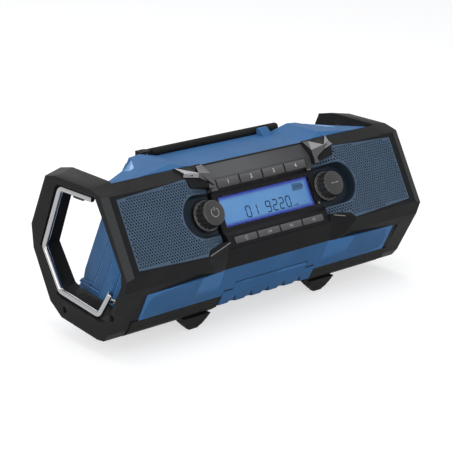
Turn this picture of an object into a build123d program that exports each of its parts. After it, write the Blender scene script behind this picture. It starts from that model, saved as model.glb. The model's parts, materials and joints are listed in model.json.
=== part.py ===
from build123d import *
import os
from math import atan2, cos, degrees, hypot, radians, sin

# Jobsite radio: a long faceted housing held between two end frames that serve as handles.
# Millimetres. X runs along the length, the front faces -Y, Z is up.
# The origin lies on the ground, in the middle of the length and of the depth.

# ---------------------------------------------------------------- overall
half_length = 190.0            # outer face of each end frame
frame_depth = 22.5             # outer to inner face of each end frame
frame_inner = half_length - frame_depth    # the bezel begins here
foot_height = 14.5             # ground to the underside of the base bumpers
wall = 2.6                     # housing wall
gap = 0.3                      # clearance between a moving piece and what surrounds it
seat = 0.05                    # clearance between two seated pieces
running_fit = 0.05             # radial clearance of a shaft in its bore

# ---------------------------------------------------------------- front plane
# The speaker front leans back from a sharp lower edge. Places on it are given by
# the distance up the slope from that edge and by the height proud of the plane.
front_lean = 28.15
front_edge_y = -77.6
front_edge_z = 85.0
front_slope = 75.3             # length of the slope, lower edge to upper edge
lean_sin = sin(radians(front_lean))
lean_cos = cos(radians(front_lean))
front_normal = Vector(0, -lean_cos, lean_sin)

# ---------------------------------------------------------------- end frames (handles)
# Outlines as (y, z): the outer face is smaller than the inner side, so the rim is drafted.
frame_rear_outer = [(29.0, 157.4), (45.6, 154.3), (71.7, 102.0), (69.8, 78.7), (44.7, 31.9), (26.8, 20.2)]
frame_rear_inner = [(33.3, 160.9), (52.7, 156.8), (78.5, 101.0), (76.5, 78.0), (51.0, 29.5), (32.0, 17.5)]
frame_bottom_z = 14.6
frame_top_outer = 156.5
frame_top_inner = 159.5
frame_top_front_y = -23.5
frame_bottom_front = [(-30.0, frame_bottom_z), (-39.5, 15.8), (-46.4, 23.5), (-72.0, 69.7)]
opening_top_z = 150.0
frame_facet = 8.0              # width of the facet along the outer edge of the front
frame_facet_drop = 2.0         # how far that facet falls
lip_recess = 0.9               # the lip beside the lower front panel lies this far behind it
opening_rise = 6.0             # the floor of the hand opening climbs towards the housing
hand_opening = [(-31.5, 150.0), (-42.1, 133.0), (-68.0, 88.0), (-68.0, 76.0), (-43.7, 35.0),
                (-31.5, 33.4), (26.0, 39.2), (34.5, 42.5), (58.5, 83.5), (31.0, 146.0), (27.0, 150.0)]

# ---------------------------------------------------------------- housing
housing_half = frame_inner - 0.2
channel_z = 155.0              # ledge behind the deck, where the antenna folds down
deck_z = 156.5                 # recessed panel on top
shoulder_z = 162.2             # raised ends of the top
deck_half = 72.0
shoulder_half = 96.0
channel_half = shoulder_half - 2.8         # half length of the ledge
shoulder_slope = 0.1          # fall of the shoulder towards the end frame
deck_front_y = -26.3
deck_rear_y = 26.0
housing_back = [(40.5, channel_z), (55.0, 98.0), (59.0, 48.0), (50.0, 24.0), (36.0, 17.5)]
collar_y = -24.0               # full-width part of the housing ends here
# end wall: three points (x, y, z) of its plane
end_wall_top = (shoulder_half + 9.0, 27.0, 160.0)
end_wall_middle = (shoulder_half + 27.6, 51.0, 93.0)
end_wall_low = (shoulder_half + 50.3, 51.0, 36.5)
# shoulder outline in plan (x, y), overhanging the end wall towards the end frame
shoulder_plan = [(shoulder_half + 7.0, 25.0), (shoulder_half + 13.5, 18.5),
                 (shoulder_half + 40.0, 0.0), (frame_inner - 7.5, -12.0)]
shoulder_edge_z = 152.0
shoulder_root_z = 136.0
rib_step = 1.4                 # height of each step in the end wall
rib_lines = [(24.9, 41.0), (-0.3, 41.0)]   # foot (y, z) of each step, which leans back
rib_lean = 0.18                # y gained for each mm of height
rib_top_z = 128.0
plinth_z = 36.0                # below this the housing reaches the end frames

# lower front panel, as sections (x, then y and z of the upper edge)
panel_low_z = 32.4
panel_low_y = -52.5
panel_centre = (67.5, -66.5, 64.0)
panel_peak = (99.3, -72.6, 64.5)
panel_outer = (frame_inner - 7.5, -67.2, 61.3)

# ---------------------------------------------------------------- bezel and grilles
bezel_wall = 3.0
grille_outer = frame_inner + 7.5
grille_low = 5.0
grille_high = 71.6
grille_inner = 96.0
grille_inner_low = 0.6
grille_inner_high = 76.2
grille_root = 68.0             # inner end of the sloping part, next to the control panel
grille_root_depth = 9.0
grille_recess = 0.6
grille_thick = 1.6
dish_radius = 21.5              # recess round a knob, at the grille surface
dish_low_radius = 19.0
dish_floor_radius = 16.2       # round floor under the knob
dish_depth = 11.4
dish_reach = 11.1              # the recess extends past the knob's axis by this much
# corners of the grille next to the control panel, as (x, s)
grille_high_corner = [(93.5, 76.2), (91.3, 66.8), (68.0, 63.3)]
grille_low_corner = [(68.0, 11.6), (91.0, 6.5), (95.5, 1.2)]

# ---------------------------------------------------------------- control panel
panel_half = 65.0
panel_thick = 2.4
lcd_depth = 8.5
lcd_low = 23.0
lcd_high = 54.2
lcd_half = 58.5
glass_half = lcd_half - 1.7
lens_thick = 1.2
key_row_depth = 5.4
key_pitch = 29.0
key_width = 27.0
key_proud = 1.1
key_flange = 1.0
key_travel = 1.0
preset_low = 61.5
preset_high = 69.8
function_low = 6.6
function_high = 13.0
lip_top = 71.8
# flange that closes the joint between the panel and the grilles
flange_low = 12.5
flange_high = 62.5
flange_depth = -15.5
hood_rear = (-26.4, 156.0)     # (y, z) of the rear edge of the hood

# ---------------------------------------------------------------- knobs and encoders
knob_x = 77.4
knob_s = 39.0
knob_top = 5.3
knob_face_radius = 12.6
knob_skirt_radius = 14.8
knob_bottom = -9.9
knob_travel = 1.0
flutes = 16
shaft_radius = 3.0
rotor_radius = 3.6
bush_radius = 4.6
encoder_side = 12.4
board_top = -18.4
board_thick = 1.6
board_half = knob_x + 17.6

# ---------------------------------------------------------------- speakers
baffle_wall_x = knob_x + 34.0
speaker_x = (baffle_wall_x + frame_inner) / 2 - 3.4
speaker_s = 38.0
speaker_radius = (frame_inner - baffle_wall_x) / 2 - 6.4
cone_radius = speaker_radius - 4.0
magnet_radius = 0.42 * speaker_radius
basket_rear_radius = magnet_radius + 4.0
basket_wall = 1.4
magnet_rear = -31.5
baffle_depth = 8.0
baffle_thick = 2.5
baffle_deep = 21.5

# ---------------------------------------------------------------- port cover
cover_half = 47.0
cover_ear = 60.0
cover_top_z = 45.1
cover_ear_z = 36.5
hinge_pin_radius = 1.2
finger_scoops = 5
scoop_radius = 9.0
scoop_depth = 1.4                # at the cover's lower edge; it fades out at the crease above
cover_foot_y = -46.6
cover_foot_z = 20.8

# ---------------------------------------------------------------- hook, antenna, feet
wire_radius = 2.9
hook_x = half_length - wire_radius - 0.1
hook_axis_z = 146.4
hook_path = [(-24.4, hook_axis_z), (25.4, hook_axis_z), (55.0, 83.2), (30.4, 44.6),
             (-30.2, 38.0), (-48.2, 63.7)]
hook_bend = 7.0
clip_y0 = -10.0
clip_y1 = 5.0
clip_lip = 0.7                 # the clip reaches past the wire's middle by this much
frame_screws = [(21.8, 29.0), (-52.3, 42.0)]
screw_head_radius = 3.0
screw_shank_radius = 1.6
screw_head = 2.4
screw_length = 12.5
frame_screw_inset = 3.0
screw_boss_radius = 5.0
keeper_x = half_length - 8.0
keeper_z = 54.0
keeper_radius = 2.0
keeper_y0 = -60.0
keeper_y1 = -39.0
antenna_y = 32.5
antenna_z = 159.4
antenna_radius = 4.2
antenna_pivot_x = -85.0
antenna_tip_x = 88.0
foot_x = 82.5
# foot: height, half width, distance of its outer and inner face from the middle of the depth
foot_stages = [(2.4, 7.6, 38.0, 31.8), (3.6, 9.2, 38.6, 32.0), (8.5, 13.5, 40.5, 29.0),
               (14.7, 16.5, 43.5, 24.0)]
pad_thick = 2.4
pad_half = (5.0, 7.4)          # half width at the ground and under the foot
pad_depth = ((36.6, 31.6), (37.8, 32.0))

# ---------------------------------------------------------------- ports
port_back_y = -42.0
port_wall = 2.0
hinge_y = -54.4
hinge_z = 42.4
barrel_radius = 2.3
lug_outer = 56.0
usb_x = -26.0
aux_x = 4.0
dc_x = 28.0
socket_z = 35.0

# ---------------------------------------------------------------- battery bay
battery_half = 44.0
battery_low_z = 50.0
battery_high_z = 130.0
battery_floor_y = 8.0
battery_wall = 2.4

# ---------------------------------------------------------------- small fittings
clip_x = 61.0                  # prong that holds the folded antenna
clip_half = 6.0
tongue_half = 2.4
antenna_pin_radius = 1.4
key_stem_end = -13.0
mat_top = key_stem_end - key_travel - 0.2
hub_bottom = -8.2
shaft_top = 0.0
cavity_low = board_top + 1.2
cavity_high = board_top + 3.8
encoder_top = -13.5
bush_top = -10.6
shaft_bottom = cavity_low + knob_travel + 0.15


def on_front(s, h):
    """(y, z) of the place s up the front slope and h proud of it."""
    y = front_edge_y + s * lean_sin - h * lean_cos
    return (y, front_edge_z + s * lean_cos + h * lean_sin)


def front_point(x, s, h):
    y, z = on_front(s, h)
    return Vector(x, y, z)


def front_plane(x=0.0, s=0.0, h=0.0):
    """Plane lying on the front slope: its x along the radio, its z straight out."""
    return Plane(origin=front_point(x, s, h), x_dir=(1, 0, 0), z_dir=front_normal)


def slab(outline, low, high):
    """Plate over an (x, s) outline, from height low to height high on the front slope."""
    sketch = front_plane(h=low) * make_face(Polyline(*outline, close=True))
    return extrude(sketch, amount=high - low)


def slope_box(x0, x1, s0, s1, low, high):
    return slab([(x0, s0), (x1, s0), (x1, s1), (x0, s1)], low, high)


def disc(x, s, radius, low, high):
    return extrude(front_plane(x, s, low) * Circle(radius), amount=high - low)


def taper(x, s, radius_low, radius_high, low, high):
    lower = front_plane(x, s, low) * Circle(radius_low)
    upper = front_plane(x, s, high) * Circle(radius_high)
    return loft([lower.face(), upper.face()], ruled=True)


def section(outline, x):
    """Face with a (y, z) outline, standing at x."""
    return Plane.YZ.offset(x) * make_face(Polyline(*outline, close=True))


def bar(outline, x0, x1):
    return extrude(section(outline, x0), amount=x1 - x0)


def block(x0, x1, y0, y1, z0, z1):
    centre = ((x0 + x1) / 2, (y0 + y1) / 2, (z0 + z1) / 2)
    return Pos(*centre) * Box(x1 - x0, y1 - y0, z1 - z0)


def other_side(shape):
    return mirror(shape, about=Plane.YZ)


def both_sides(shape):
    return shape + other_side(shape)


def beyond(point, normal, reach=500.0):
    """Large block on the outer side of a plane."""
    plane = Plane(origin=point, z_dir=normal)
    return extrude(plane * Rectangle(2 * reach, 2 * reach), amount=reach)


def rod(start, end, radius):
    start, end = Vector(start), Vector(end)
    plane = Plane(origin=start, z_dir=end - start)
    return extrude(plane * Circle(radius), amount=(end - start).length)


def save(shape, name):
    export_step(shape, f"parts/{name}.step")


# ================================================================ end frames
def frame_outline(top_z, rear):
    front_top = on_front(front_slope, 0)
    points = [(front_edge_y, front_edge_z), front_top, (frame_top_front_y, top_z)]
    return points + rear + frame_bottom_front


def grille_outline(grow=0.0):
    return [
        (grille_outer + grow, grille_low - grow),
        (grille_outer + grow, grille_high + grow),
        *[(x - grow, s + grow) for x, s in grille_high_corner],
        *[(x - grow, s - grow) for x, s in grille_low_corner],
    ]


def make_end_frame(with_keeper):
    inner = section(frame_outline(frame_top_inner, frame_rear_inner), frame_inner)
    outer = section(frame_outline(frame_top_outer, frame_rear_outer), half_length)
    ring = loft([inner.face(), outer.face()], ruled=True)
    raised = [(y, z + opening_rise if z < 60 else z) for y, z in hand_opening]
    opening = loft([section(raised, frame_inner).face(), section(hand_opening, half_length).face()],
                   ruled=True)
    opening += bar(raised, frame_inner - 5, frame_inner) + bar(hand_opening, half_length, half_length + 5)
    ring -= opening
    facet_edge = front_point(half_length - frame_facet, 0, 0)
    ring -= beyond(facet_edge, front_normal * frame_facet + Vector(frame_facet_drop, 0, 0))
    ring -= slab(grille_outline(0.2), -grille_thick - grille_recess - 0.1, 5)
    for y, z in frame_screws:
        ring -= rod((half_length - frame_screw_inset - screw_length - 0.5, y, z), (half_length + 1, y, z),
                    screw_head_radius + 0.2)
    lip = panel_section(panel_outer[0] + 0.1, *panel_outer[1:])
    lip = Pos(0, lip_recess, 0) * extrude(lip, amount=frame_inner - panel_outer[0] + 1, dir=(1, 0, 0))
    ring += lip & block(0, 300, -300, collar_y, 0, 300)
    if with_keeper:
        ring -= rod((keeper_x, keeper_y0, keeper_z), (keeper_x, keeper_y1, keeper_z),
                    keeper_radius + seat)
    return ring


# ================================================================ housing
def end_wall(inset):
    """Point and outward normal of the slanted end wall on the +X side."""
    top, middle, low = (Vector(*p) for p in (end_wall_top, end_wall_middle, end_wall_low))
    normal = (middle - top).cross(low - top).normalized()
    if normal.X < 0:
        normal = -normal
    return middle - normal * inset, normal


def housing_body(inset):
    """Faceted outer form of the housing, all faces moved inward by inset."""
    low_front = on_front(0.5, -4.6)
    outline = [low_front, on_front(front_slope - 3.3, -3.4), (-29.0, 153.2), (deck_front_y, 154.4),
               (deck_front_y, 158.8), (-20.0, shoulder_z), (deck_rear_y, shoulder_z),
               (deck_rear_y + 1.4, channel_z)]
    outline += housing_back + [(-30.0, 17.5), (-42.5, 21.5), (-49.3, 32.4), (-62.5, 63.0)]
    half = housing_half - inset
    face = make_face(Polyline(*outline, close=True))
    if inset:
        face = offset(face, amount=-inset, kind=Kind.INTERSECTION)
    full = extrude(Plane.YZ.offset(-half) * face, amount=2 * half)
    collar = full & block(-300, 300, -300, collar_y - inset, -50, 300)
    core = full
    if inset:
        steps = [(0, None)]
    else:
        steps = [(2, None), (1, rib_lines[1]), (0, rib_lines[0])]
    for side in (1, -1):
        for step, line in steps:
            point, normal = end_wall(inset - step * rib_step)
            outside = beyond((side * point.X, point.Y, point.Z), (side * normal.X, normal.Y, normal.Z))
            if line:
                outside &= behind_rib(*line)
            core -= outside
    body = core + collar
    plinth = full & block(-300, 300, -300, 300, -50, plinth_z - inset)
    body += plinth
    for side in (1, -1):
        body += full & shoulder(side, inset)
    slope = degrees(atan2(shoulder_slope, 1))
    for side in (1, -1):
        lean = (side * sin(radians(slope)), 0, cos(radians(slope)))
        body -= beyond((side * shoulder_half, 0, shoulder_z - inset), lean)
    recess = [(-shoulder_half, shoulder_z + 0.2), (-deck_half, deck_z), (deck_half, deck_z),
              (shoulder_half, shoulder_z + 0.2)]
    recess = [(x, z - inset) for x, z in recess]
    recess = [(-shoulder_half, 200), *recess, (shoulder_half, 200)]
    sketch = Plane.XZ.offset(-deck_rear_y - 1) * make_face(Polyline(*recess, close=True))
    body -= extrude(sketch, amount=80)
    corner = [(deck_rear_y + 0.2 - inset, 170), (deck_rear_y + 0.2 - inset, shoulder_z), (54 - inset, 100),
              (90, 100), (90, 170)]
    for x0, x1 in ((-300, -channel_half + inset), (channel_half - inset, 300)):
        body -= bar(corner, x0, x1)
    return body


def behind_rib(y, z):
    """Region behind a step of the end wall, whose foot is at (y, z)."""
    rise = rib_top_z - z
    outline = [(y, z), (100, z), (100, rib_top_z), (y - rib_lean * rise, rib_top_z)]
    return bar(outline, -300, 300)


def shoulder(side, inset):
    """Overhanging end of the top, between the deck and the end frame."""
    plan = [(x - inset, y - inset) for x, y in shoulder_plan]
    plan += [(housing_half - inset, -16.0 - inset), (housing_half - inset, -40.0)]
    rear = plan[0][1]
    _, normal = end_wall(inset)
    point, _ = end_wall(inset)

    def wall_x(y, z):
        return point.X - (normal.Y * (y - point.Y) + normal.Z * (z - point.Z)) / normal.X

    low_z = shoulder_root_z - inset
    root = [(min(x, wall_x(y, low_z)), y) for x, y in plan]
    faces = []
    for points, z in ((root, low_z), (plan, shoulder_edge_z - inset)):
        ring = [(0, rear), *points, (0, -40.0)]
        ring = [(side * x, y) for x, y in ring]
        faces.append((Plane.XY.offset(z) * make_face(Polyline(*ring, close=True))).face())
    return loft(faces, ruled=True) + extrude(faces[1], amount=20, dir=(0, 0, 1))


def panel_section(x, y_top, z_top):
    """Lower front panel: a bent plate that turns under the housing."""
    y_low = panel_low_y
    return section([
        (y_top, z_top), (y_low, panel_low_z), (y_low + 3.2, panel_low_z), (-43.0, 21.0),
        (-30.0, 17.4), (-24.0, 17.4), (-24.0, 20.4), (-41.0, 24.2),
        (y_low + 6.5, panel_low_z + 1), (y_top + 5.0, z_top)], x).face()


def panel_stations():
    right = [panel_centre, panel_peak, panel_outer, (housing_half, *panel_outer[1:])]
    left = [(-x, y, z) for x, y, z in reversed(right)]
    return left + right


def make_front_housing():
    panel = None
    stations = panel_stations()[1:-1]
    for one, two in zip(stations, stations[1:]):
        span = loft([panel_section(*one), panel_section(*two)], ruled=True)
        panel = span if panel is None else panel + span
    end, y_top, z_top = panel_outer
    wall_outline = [(y_top + 1, z_top), (panel_low_y + 1, panel_low_z + 0.1),
                    (panel_low_y + 3.3, panel_low_z), (-43.0, 21.0), (-30.0, 17.4), (collar_y, 17.4),
                    (collar_y, z_top)]
    panel += both_sides(bar(wall_outline, end - wall, end))
    panel -= bar([(-90, cover_top_z + gap), (port_back_y, cover_top_z + gap), (port_back_y, 22.6),
                  (-43.0, 16.0), (-90, 16.0)], -cover_half - gap, cover_half + gap)
    ear_cut = bar([(-90, cover_ear_z + gap), (-48.4, cover_ear_z + gap), (-44.0, 28.0),
                   (-40.0, 16.0), (-90, 16.0)], -cover_ear - gap, cover_ear + gap)
    panel -= ear_cut
    lug = bar([(-57.0, 46.5), (-54.6, 39.6), (-50.0, 39.6), (-50.0, 46.5)], cover_half + gap, lug_outer)
    panel += both_sides(lug)
    panel -= rod((-lug_outer - 1, hinge_y, hinge_z), (lug_outer + 1, hinge_y, hinge_z),
                 hinge_pin_radius + seat)
    return panel


def make_rear_housing():
    shell = housing_body(0) - housing_body(wall)
    shell -= slope_box(-frame_inner, frame_inner, 2.0, 77.5, -7.5, 20)
    shell -= block(-300, 300, -300, -23.9, -50, panel_peak[2] + 0.1)
    shell -= block(-98, 98, -300, deck_front_y + 0.1, 100, 300)
    shell -= Pos(0, bezel_wall + 0.2, 0) * bezel_notch()
    shell -= block(-battery_half - 2 * battery_wall, battery_half + 2 * battery_wall, 30.0, 90.0,
                   battery_low_z - 2 * battery_wall, battery_high_z + 2 * battery_wall)
    prong = [(16.0, 156.0), (24.6, 163.2), (deck_rear_y + 1.4, 163.2), (deck_rear_y + 1.4, 153.5),
             (16.0, 153.5)]
    shell += bar(prong, clip_x - clip_half, clip_x + clip_half)
    for side in (1, -1):
        x0, x1 = sorted((side * (panel_half - 1), side * 99))
        shell -= slope_box(x0, x1, 0, 77.5, -12, 20)
    for x, y, z in housing_screw_places():
        boss = rod((x, y - screw_length - 1.5, z), (x, y + 12, z), screw_boss_radius)
        shell += boss & housing_body(0)
        shell -= rod((x, y - screw_head, z), (x, y + 20, z), screw_head_radius + 0.2)
        shell -= rod((x, y - screw_length - 2, z), (x, y, z), screw_shank_radius + seat)
    return shell


def housing_screw_places():
    return [(x, y, z) for x in (-84.0, 84.0) for y, z in ((55.5, 46.0), (43.5, 134.0))]


# ================================================================ bezel
def bezel_notch():
    """Recess in the middle of the lower front, with slanted cheeks."""
    low = [(-99.3, -73.4), (-67.5, -66.0), (67.5, -66.0), (99.3, -73.4), (99.3, -95), (-99.3, -95)]
    high = [(-92, -77.7), (-67, -72.6), (67, -72.6), (92, -77.7), (92, -95), (-92, -95)]
    faces = [(Plane.XY.offset(z) * make_face(Polyline(*points, close=True))).face()
             for z, points in ((60.0, low), (92.0, high))]
    return loft(faces, ruled=True)


def bezel_corners():
    """Facets that fall from the bezel to the grille, above and below the knob."""
    edge = panel_half + gap
    corners = []
    for outline, points in (
            ([(96.0, 79.0), (96.0, 76.0), (91.5, 66.6), (edge, 62.8), (edge, 79.0)],
             [(edge, 63.2, -9.8), (91.5, 67.0, -2.4), (edge, 75.0, -1.5)]),
            ([(97.0, -2.0), (97.0, 1.0), (91.2, 6.7), (edge, 12.2), (edge, -2.0)],
             [(96.0, 0.4, -0.2), (edge, 9.0, -0.2), (edge, 12.0, -10.0)])):
        one, two, three = (front_point(*point) for point in points)
        normal = (two - one).cross(three - one).normalized()
        if normal.dot(front_normal) < 0:
            normal = -normal
        corner = slab(outline, -13.0, 2.0) - beyond(one, normal)
        corners.append(corner - slope_box(-200, 200, -30, 2.2, -20, -bezel_wall - 0.2))
    return corners


def below_bezel():
    """Room of the lower front panel, up to its upper edge."""
    room = None
    for (x0, _, z0), (x1, _, z1) in zip(panel_stations(), panel_stations()[1:]):
        faces = [section([(-100, z + 0.1), (-40, z + 0.1), (-40, 30), (-100, 30)], x).face()
                 for x, z in ((x0, z0), (x1, z1))]
        span = loft(faces, ruled=True)
        room = span if room is None else room + span
    return room


def make_bezel():
    outline = [(frame_top_front_y, frame_top_inner), on_front(front_slope, 0),
               (front_edge_y, front_edge_z), (-72.0, 69.7), (-67.2, 61.2), (0, 61.2),
               (0, frame_top_inner)]
    face = make_face(Polyline(*outline, close=True))
    thin = offset(face, amount=-bezel_wall, kind=Kind.INTERSECTION)
    span = frame_inner
    outer = extrude(Plane.YZ.offset(-span) * face, amount=2 * span)
    inner = extrude(Plane.YZ.offset(-span - 1) * thin, amount=2 * span + 2)
    notch = bezel_notch()
    skin = (outer - notch) - (inner - Pos(0, bezel_wall, 0) * notch)
    skin -= block(-200, 200, -26.5, 50, 0, 300)
    skin -= block(-200, 200, -62.0, 50, 0, panel_peak[2] + 0.3)
    skin -= below_bezel()
    centre_cut = slope_box(-panel_half - 0.2, panel_half + 0.2, 3.2, 120, -40, 40)
    skin -= centre_cut
    claw_sections = [
        (97.0, [(-27.5, 159.2), (-38.7, 152.0), (-37.0, 148.0), (-27.0, 152.0)]),
        (80.5, [(-30.0, 157.5), (-43.5, 155.3), (-42.4, 149.0), (-32.0, 147.0)]),
        (65.4, [(-28.0, 153.0), (-41.6, 143.6), (-43.4, 137.4), (-35.0, 138.0)])]
    for side in (1, -1):
        faces = [section(points, side * x).face() for x, points in claw_sections]
        for one, two in zip(faces, faces[1:]):
            skin += loft([one, two], ruled=True)
    for corner in bezel_corners():
        skin += both_sides(corner & (outer - notch))
    for side in (1, -1):
        window = [(side * x, s) for x, s in grille_outline(0.2)]
        skin -= slab(window, -16, 12)
        x0, x1 = sorted((side * (frame_inner - 9), side * (frame_inner - 0.1)))
        skin += slope_box(x0, x1, 2.4, 75.0, -5.6, -grille_recess - grille_thick - 0.1)
    skin -= slope_box(-knob_x, knob_x, 10.0, 62.0, -40, 40)
    return skin


# ================================================================ grilles
def grille_block(top):
    """Everything below the grille surface, which slopes down next to the control panel."""
    s0, s1 = grille_inner_low, grille_inner_high
    main = [(grille_outer, grille_low), (grille_outer, grille_high), (grille_inner, s1), (grille_inner, s0)]
    solid = slab(main, -30, top)
    slope = [(grille_inner, top), (grille_root, top - grille_root_depth), (grille_root, -30),
             (grille_inner, -30)]
    plane = Plane(origin=front_point(0, s0, 0), x_dir=(1, 0, 0),
                  z_dir=(0, -lean_sin, -lean_cos))
    sketch = plane * make_face(Polyline(*[(x, h) for x, h in slope], close=True))
    return solid, extrude(sketch, amount=-(s1 - s0))


def dish(drop):
    """Long recess that runs from beyond the knob to the control panel."""
    reach = knob_x + dish_reach - panel_half + 10
    centre = knob_x + dish_reach - reach / 2
    faces = []
    for radius, h in ((dish_low_radius, drop - dish_depth), (dish_radius, drop), (dish_radius, drop + 2)):
        faces.append((front_plane(centre, knob_s, h) * SlotCenterToCenter(reach, 2 * radius)).face())
    return loft(faces[:2], ruled=True) + loft(faces[1:], ruled=True)


def make_grille():
    solids = []
    for top in (-grille_recess, -grille_recess - grille_thick):
        main, slope = grille_block(top)
        solid = main + slope
        drop = top + grille_recess
        solids.append(solid - dish(drop))
    skin = (solids[0] - solids[1]) & slab(grille_outline(), -30, 5)
    skin -= disc(knob_x, knob_s, dish_floor_radius + 0.2, -40, 5)
    skin -= slope_box(0, grille_root, -10, 90, -40, 5)
    return skin


# ================================================================ control panel
def key_places():
    return [(i - 1.5) * key_pitch for i in range(4)]


def make_control_panel():
    rear_y, rear_z = hood_rear
    rel_y, rel_z = rear_y - front_edge_y, rear_z - front_edge_z
    rear_s = rel_y * lean_sin + rel_z * lean_cos
    rear_h = rel_z * lean_sin - rel_y * lean_cos
    top = [(3.6, -key_row_depth), (15.5, -key_row_depth), (19.5, -lcd_depth), (57.0, -lcd_depth),
           (59.5, -key_row_depth), (lip_top, -key_row_depth + 0.9), (rear_s, rear_h)]
    under = [(lip_top - 1, -key_row_depth - panel_thick),
             (60.5, -key_row_depth - panel_thick), (57.5, -lcd_depth - panel_thick),
             (19.0, -lcd_depth - panel_thick), (15.0, -key_row_depth - panel_thick),
             (3.6, -key_row_depth - panel_thick)]
    outline = [on_front(s, h) for s, h in top]
    outline += [(rear_y, rear_z - 1.2 * panel_thick)] + [on_front(s, h) for s, h in under]
    panel = bar(outline, -panel_half, panel_half)
    for side in (1, -1):
        x = side * knob_x
        well = disc(x, knob_s, dish_floor_radius + 1.4, -dish_depth - 2, -lcd_depth - 0.1)
        inner_x0, inner_x1 = sorted((0, side * panel_half))
        panel += well & slope_box(inner_x0, inner_x1, 0, 80, -30, 0)
        panel += disc(x, knob_s, dish_floor_radius, -dish_depth - 2, -dish_depth)
        panel -= disc(x, knob_s, dish_floor_radius, -dish_depth, 20)
        panel -= disc(x, knob_s, bush_radius + 0.3, -20, 0)
        flange = slope_box(panel_half - panel_thick, grille_root + 2.5, flange_low, flange_high,
                           flange_depth, flange_depth + 1.6)
        flange += slope_box(panel_half - panel_thick, panel_half, flange_low, flange_high,
                            flange_depth, -lcd_depth - 0.1)
        flange -= disc(knob_x, knob_s, dish_floor_radius + 0.1, -20, 0)
        panel += flange if side > 0 else other_side(flange)
    slot_half = key_places()[-1] + key_width / 2
    panel -= slope_box(-slot_half, slot_half, preset_low - 2.3, preset_low, -key_row_depth - 2.9, 5)
    panel -= slope_box(-lcd_half, lcd_half, lcd_low, lcd_high, -lcd_depth - lens_thick - seat, 5)
    panel -= slope_box(-lcd_half + 1, lcd_half - 1, lcd_low + 1, lcd_high - 1, -20, 5)
    for x in key_places():
        for low, high in ((preset_low, preset_high), (function_low, function_high)):
            half = key_width / 2 + gap
            panel -= slope_box(x - half, x + half, low - gap, high + gap, -20, 5)
    return panel


def make_key(x, low, high):
    half = key_width / 2
    under = -key_row_depth - panel_thick - seat
    key = slope_box(x - half, x + half, low, high, under, -key_row_depth + key_proud)
    key += slope_box(x - half - 0.7, x + half + 0.7, low - 0.8, high + 0.8, under - key_flange, under)
    key += disc(x, (low + high) / 2, 2.2, key_stem_end, under - key_flange)
    return key


def make_keymat(low, high):
    span = key_places()[-1] + 8
    mat = slope_box(-span, span, low, high, board_top + seat, board_top + 1.2)
    for x in key_places():
        mat += disc(x, (low + high) / 2, 3.0, board_top + 1.2, mat_top)
    return mat


# ================================================================ knobs and encoders
def make_knob(x):
    knob = taper(x, knob_s, knob_skirt_radius, knob_skirt_radius - 0.9, knob_bottom, knob_top - 3.6)
    knob += taper(x, knob_s, knob_skirt_radius - 0.9, knob_face_radius + 0.4, knob_top - 3.6, knob_top - 1.2)
    knob += taper(x, knob_s, knob_face_radius + 0.4, knob_face_radius - 1.6, knob_top - 1.2, knob_top)
    knob -= disc(x, knob_s, knob_skirt_radius - 3.0, knob_bottom, 0.5)
    knob += disc(x, knob_s, shaft_radius + 2.4, hub_bottom, 0.5)
    knob -= disc(x, knob_s, shaft_radius, hub_bottom, shaft_top)
    for i in range(flutes):
        turn = radians(360 * i / flutes)
        fx = x + (knob_skirt_radius + 0.7) * cos(turn)
        fs = knob_s + (knob_skirt_radius + 0.7) * sin(turn)
        knob -= disc(fx, fs, 1.7, knob_bottom, knob_top - 3.0)
    return knob


def make_encoder_body(x):
    half = encoder_side / 2
    body = slope_box(x - half, x + half, knob_s - half, knob_s + half, board_top + seat, encoder_top)
    body += disc(x, knob_s, bush_radius, encoder_top, bush_top)
    body -= disc(x, knob_s, 5.0, cavity_low, cavity_high)
    body -= disc(x, knob_s, rotor_radius + running_fit, cavity_low, bush_top)
    return body


def make_rotor(x):
    rotor = disc(x, knob_s, 4.9, cavity_low + 0.05, cavity_high - 0.05)
    rotor += disc(x, knob_s, rotor_radius, cavity_high - 0.05, bush_top + 0.3)
    rotor -= disc(x, knob_s, shaft_radius + running_fit, cavity_low, bush_top + 1)
    return rotor


def make_shaft(x):
    return disc(x, knob_s, shaft_radius, shaft_bottom, shaft_top)


# ================================================================ speakers and baffle
def make_baffle():
    low, high = 2.2, 74.2
    side_plate = slope_box(baffle_wall_x, housing_half - wall - 0.1, low, high,
                           -baffle_depth - baffle_thick, -baffle_depth)
    side_plate += slope_box(baffle_wall_x, baffle_wall_x + baffle_thick, low, high,
                            -baffle_deep - baffle_thick, -baffle_depth)
    side_plate -= disc(speaker_x, speaker_s, speaker_radius - 1.8, -30, 0)
    centre = slope_box(-baffle_wall_x - 0.1, baffle_wall_x + 0.1, low, high,
                       -baffle_deep - baffle_thick, -baffle_deep)
    baffle = centre + both_sides(side_plate)
    for x in (5 - board_half, board_half - 5):
        for s in (8, 68):
            baffle += disc(x, s, 3, -baffle_deep, board_top - board_thick - seat)
    return baffle & housing_body(wall + seat)


def make_basket():
    front = -baffle_depth
    basket = disc(speaker_x, speaker_s, speaker_radius, front + seat, front + 1.6)
    basket += taper(speaker_x, speaker_s, basket_rear_radius, speaker_radius - 2.2, -28.0, front + seat)
    basket -= taper(speaker_x, speaker_s, basket_rear_radius - basket_wall,
                    speaker_radius - 2.2 - basket_wall, -28.0 + basket_wall, front + 1.7)
    basket -= disc(speaker_x, speaker_s, 6.5, -30, -20)
    for i in range(4):
        turn = Axis(origin=front_point(speaker_x, speaker_s, 0), direction=front_normal)
        window = slope_box(speaker_x + basket_rear_radius, speaker_x + speaker_radius + 13,
                           speaker_s - 7, speaker_s + 7, -23.5, -12)
        basket -= window.rotate(turn, 90 * i + 45)
    return basket


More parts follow.
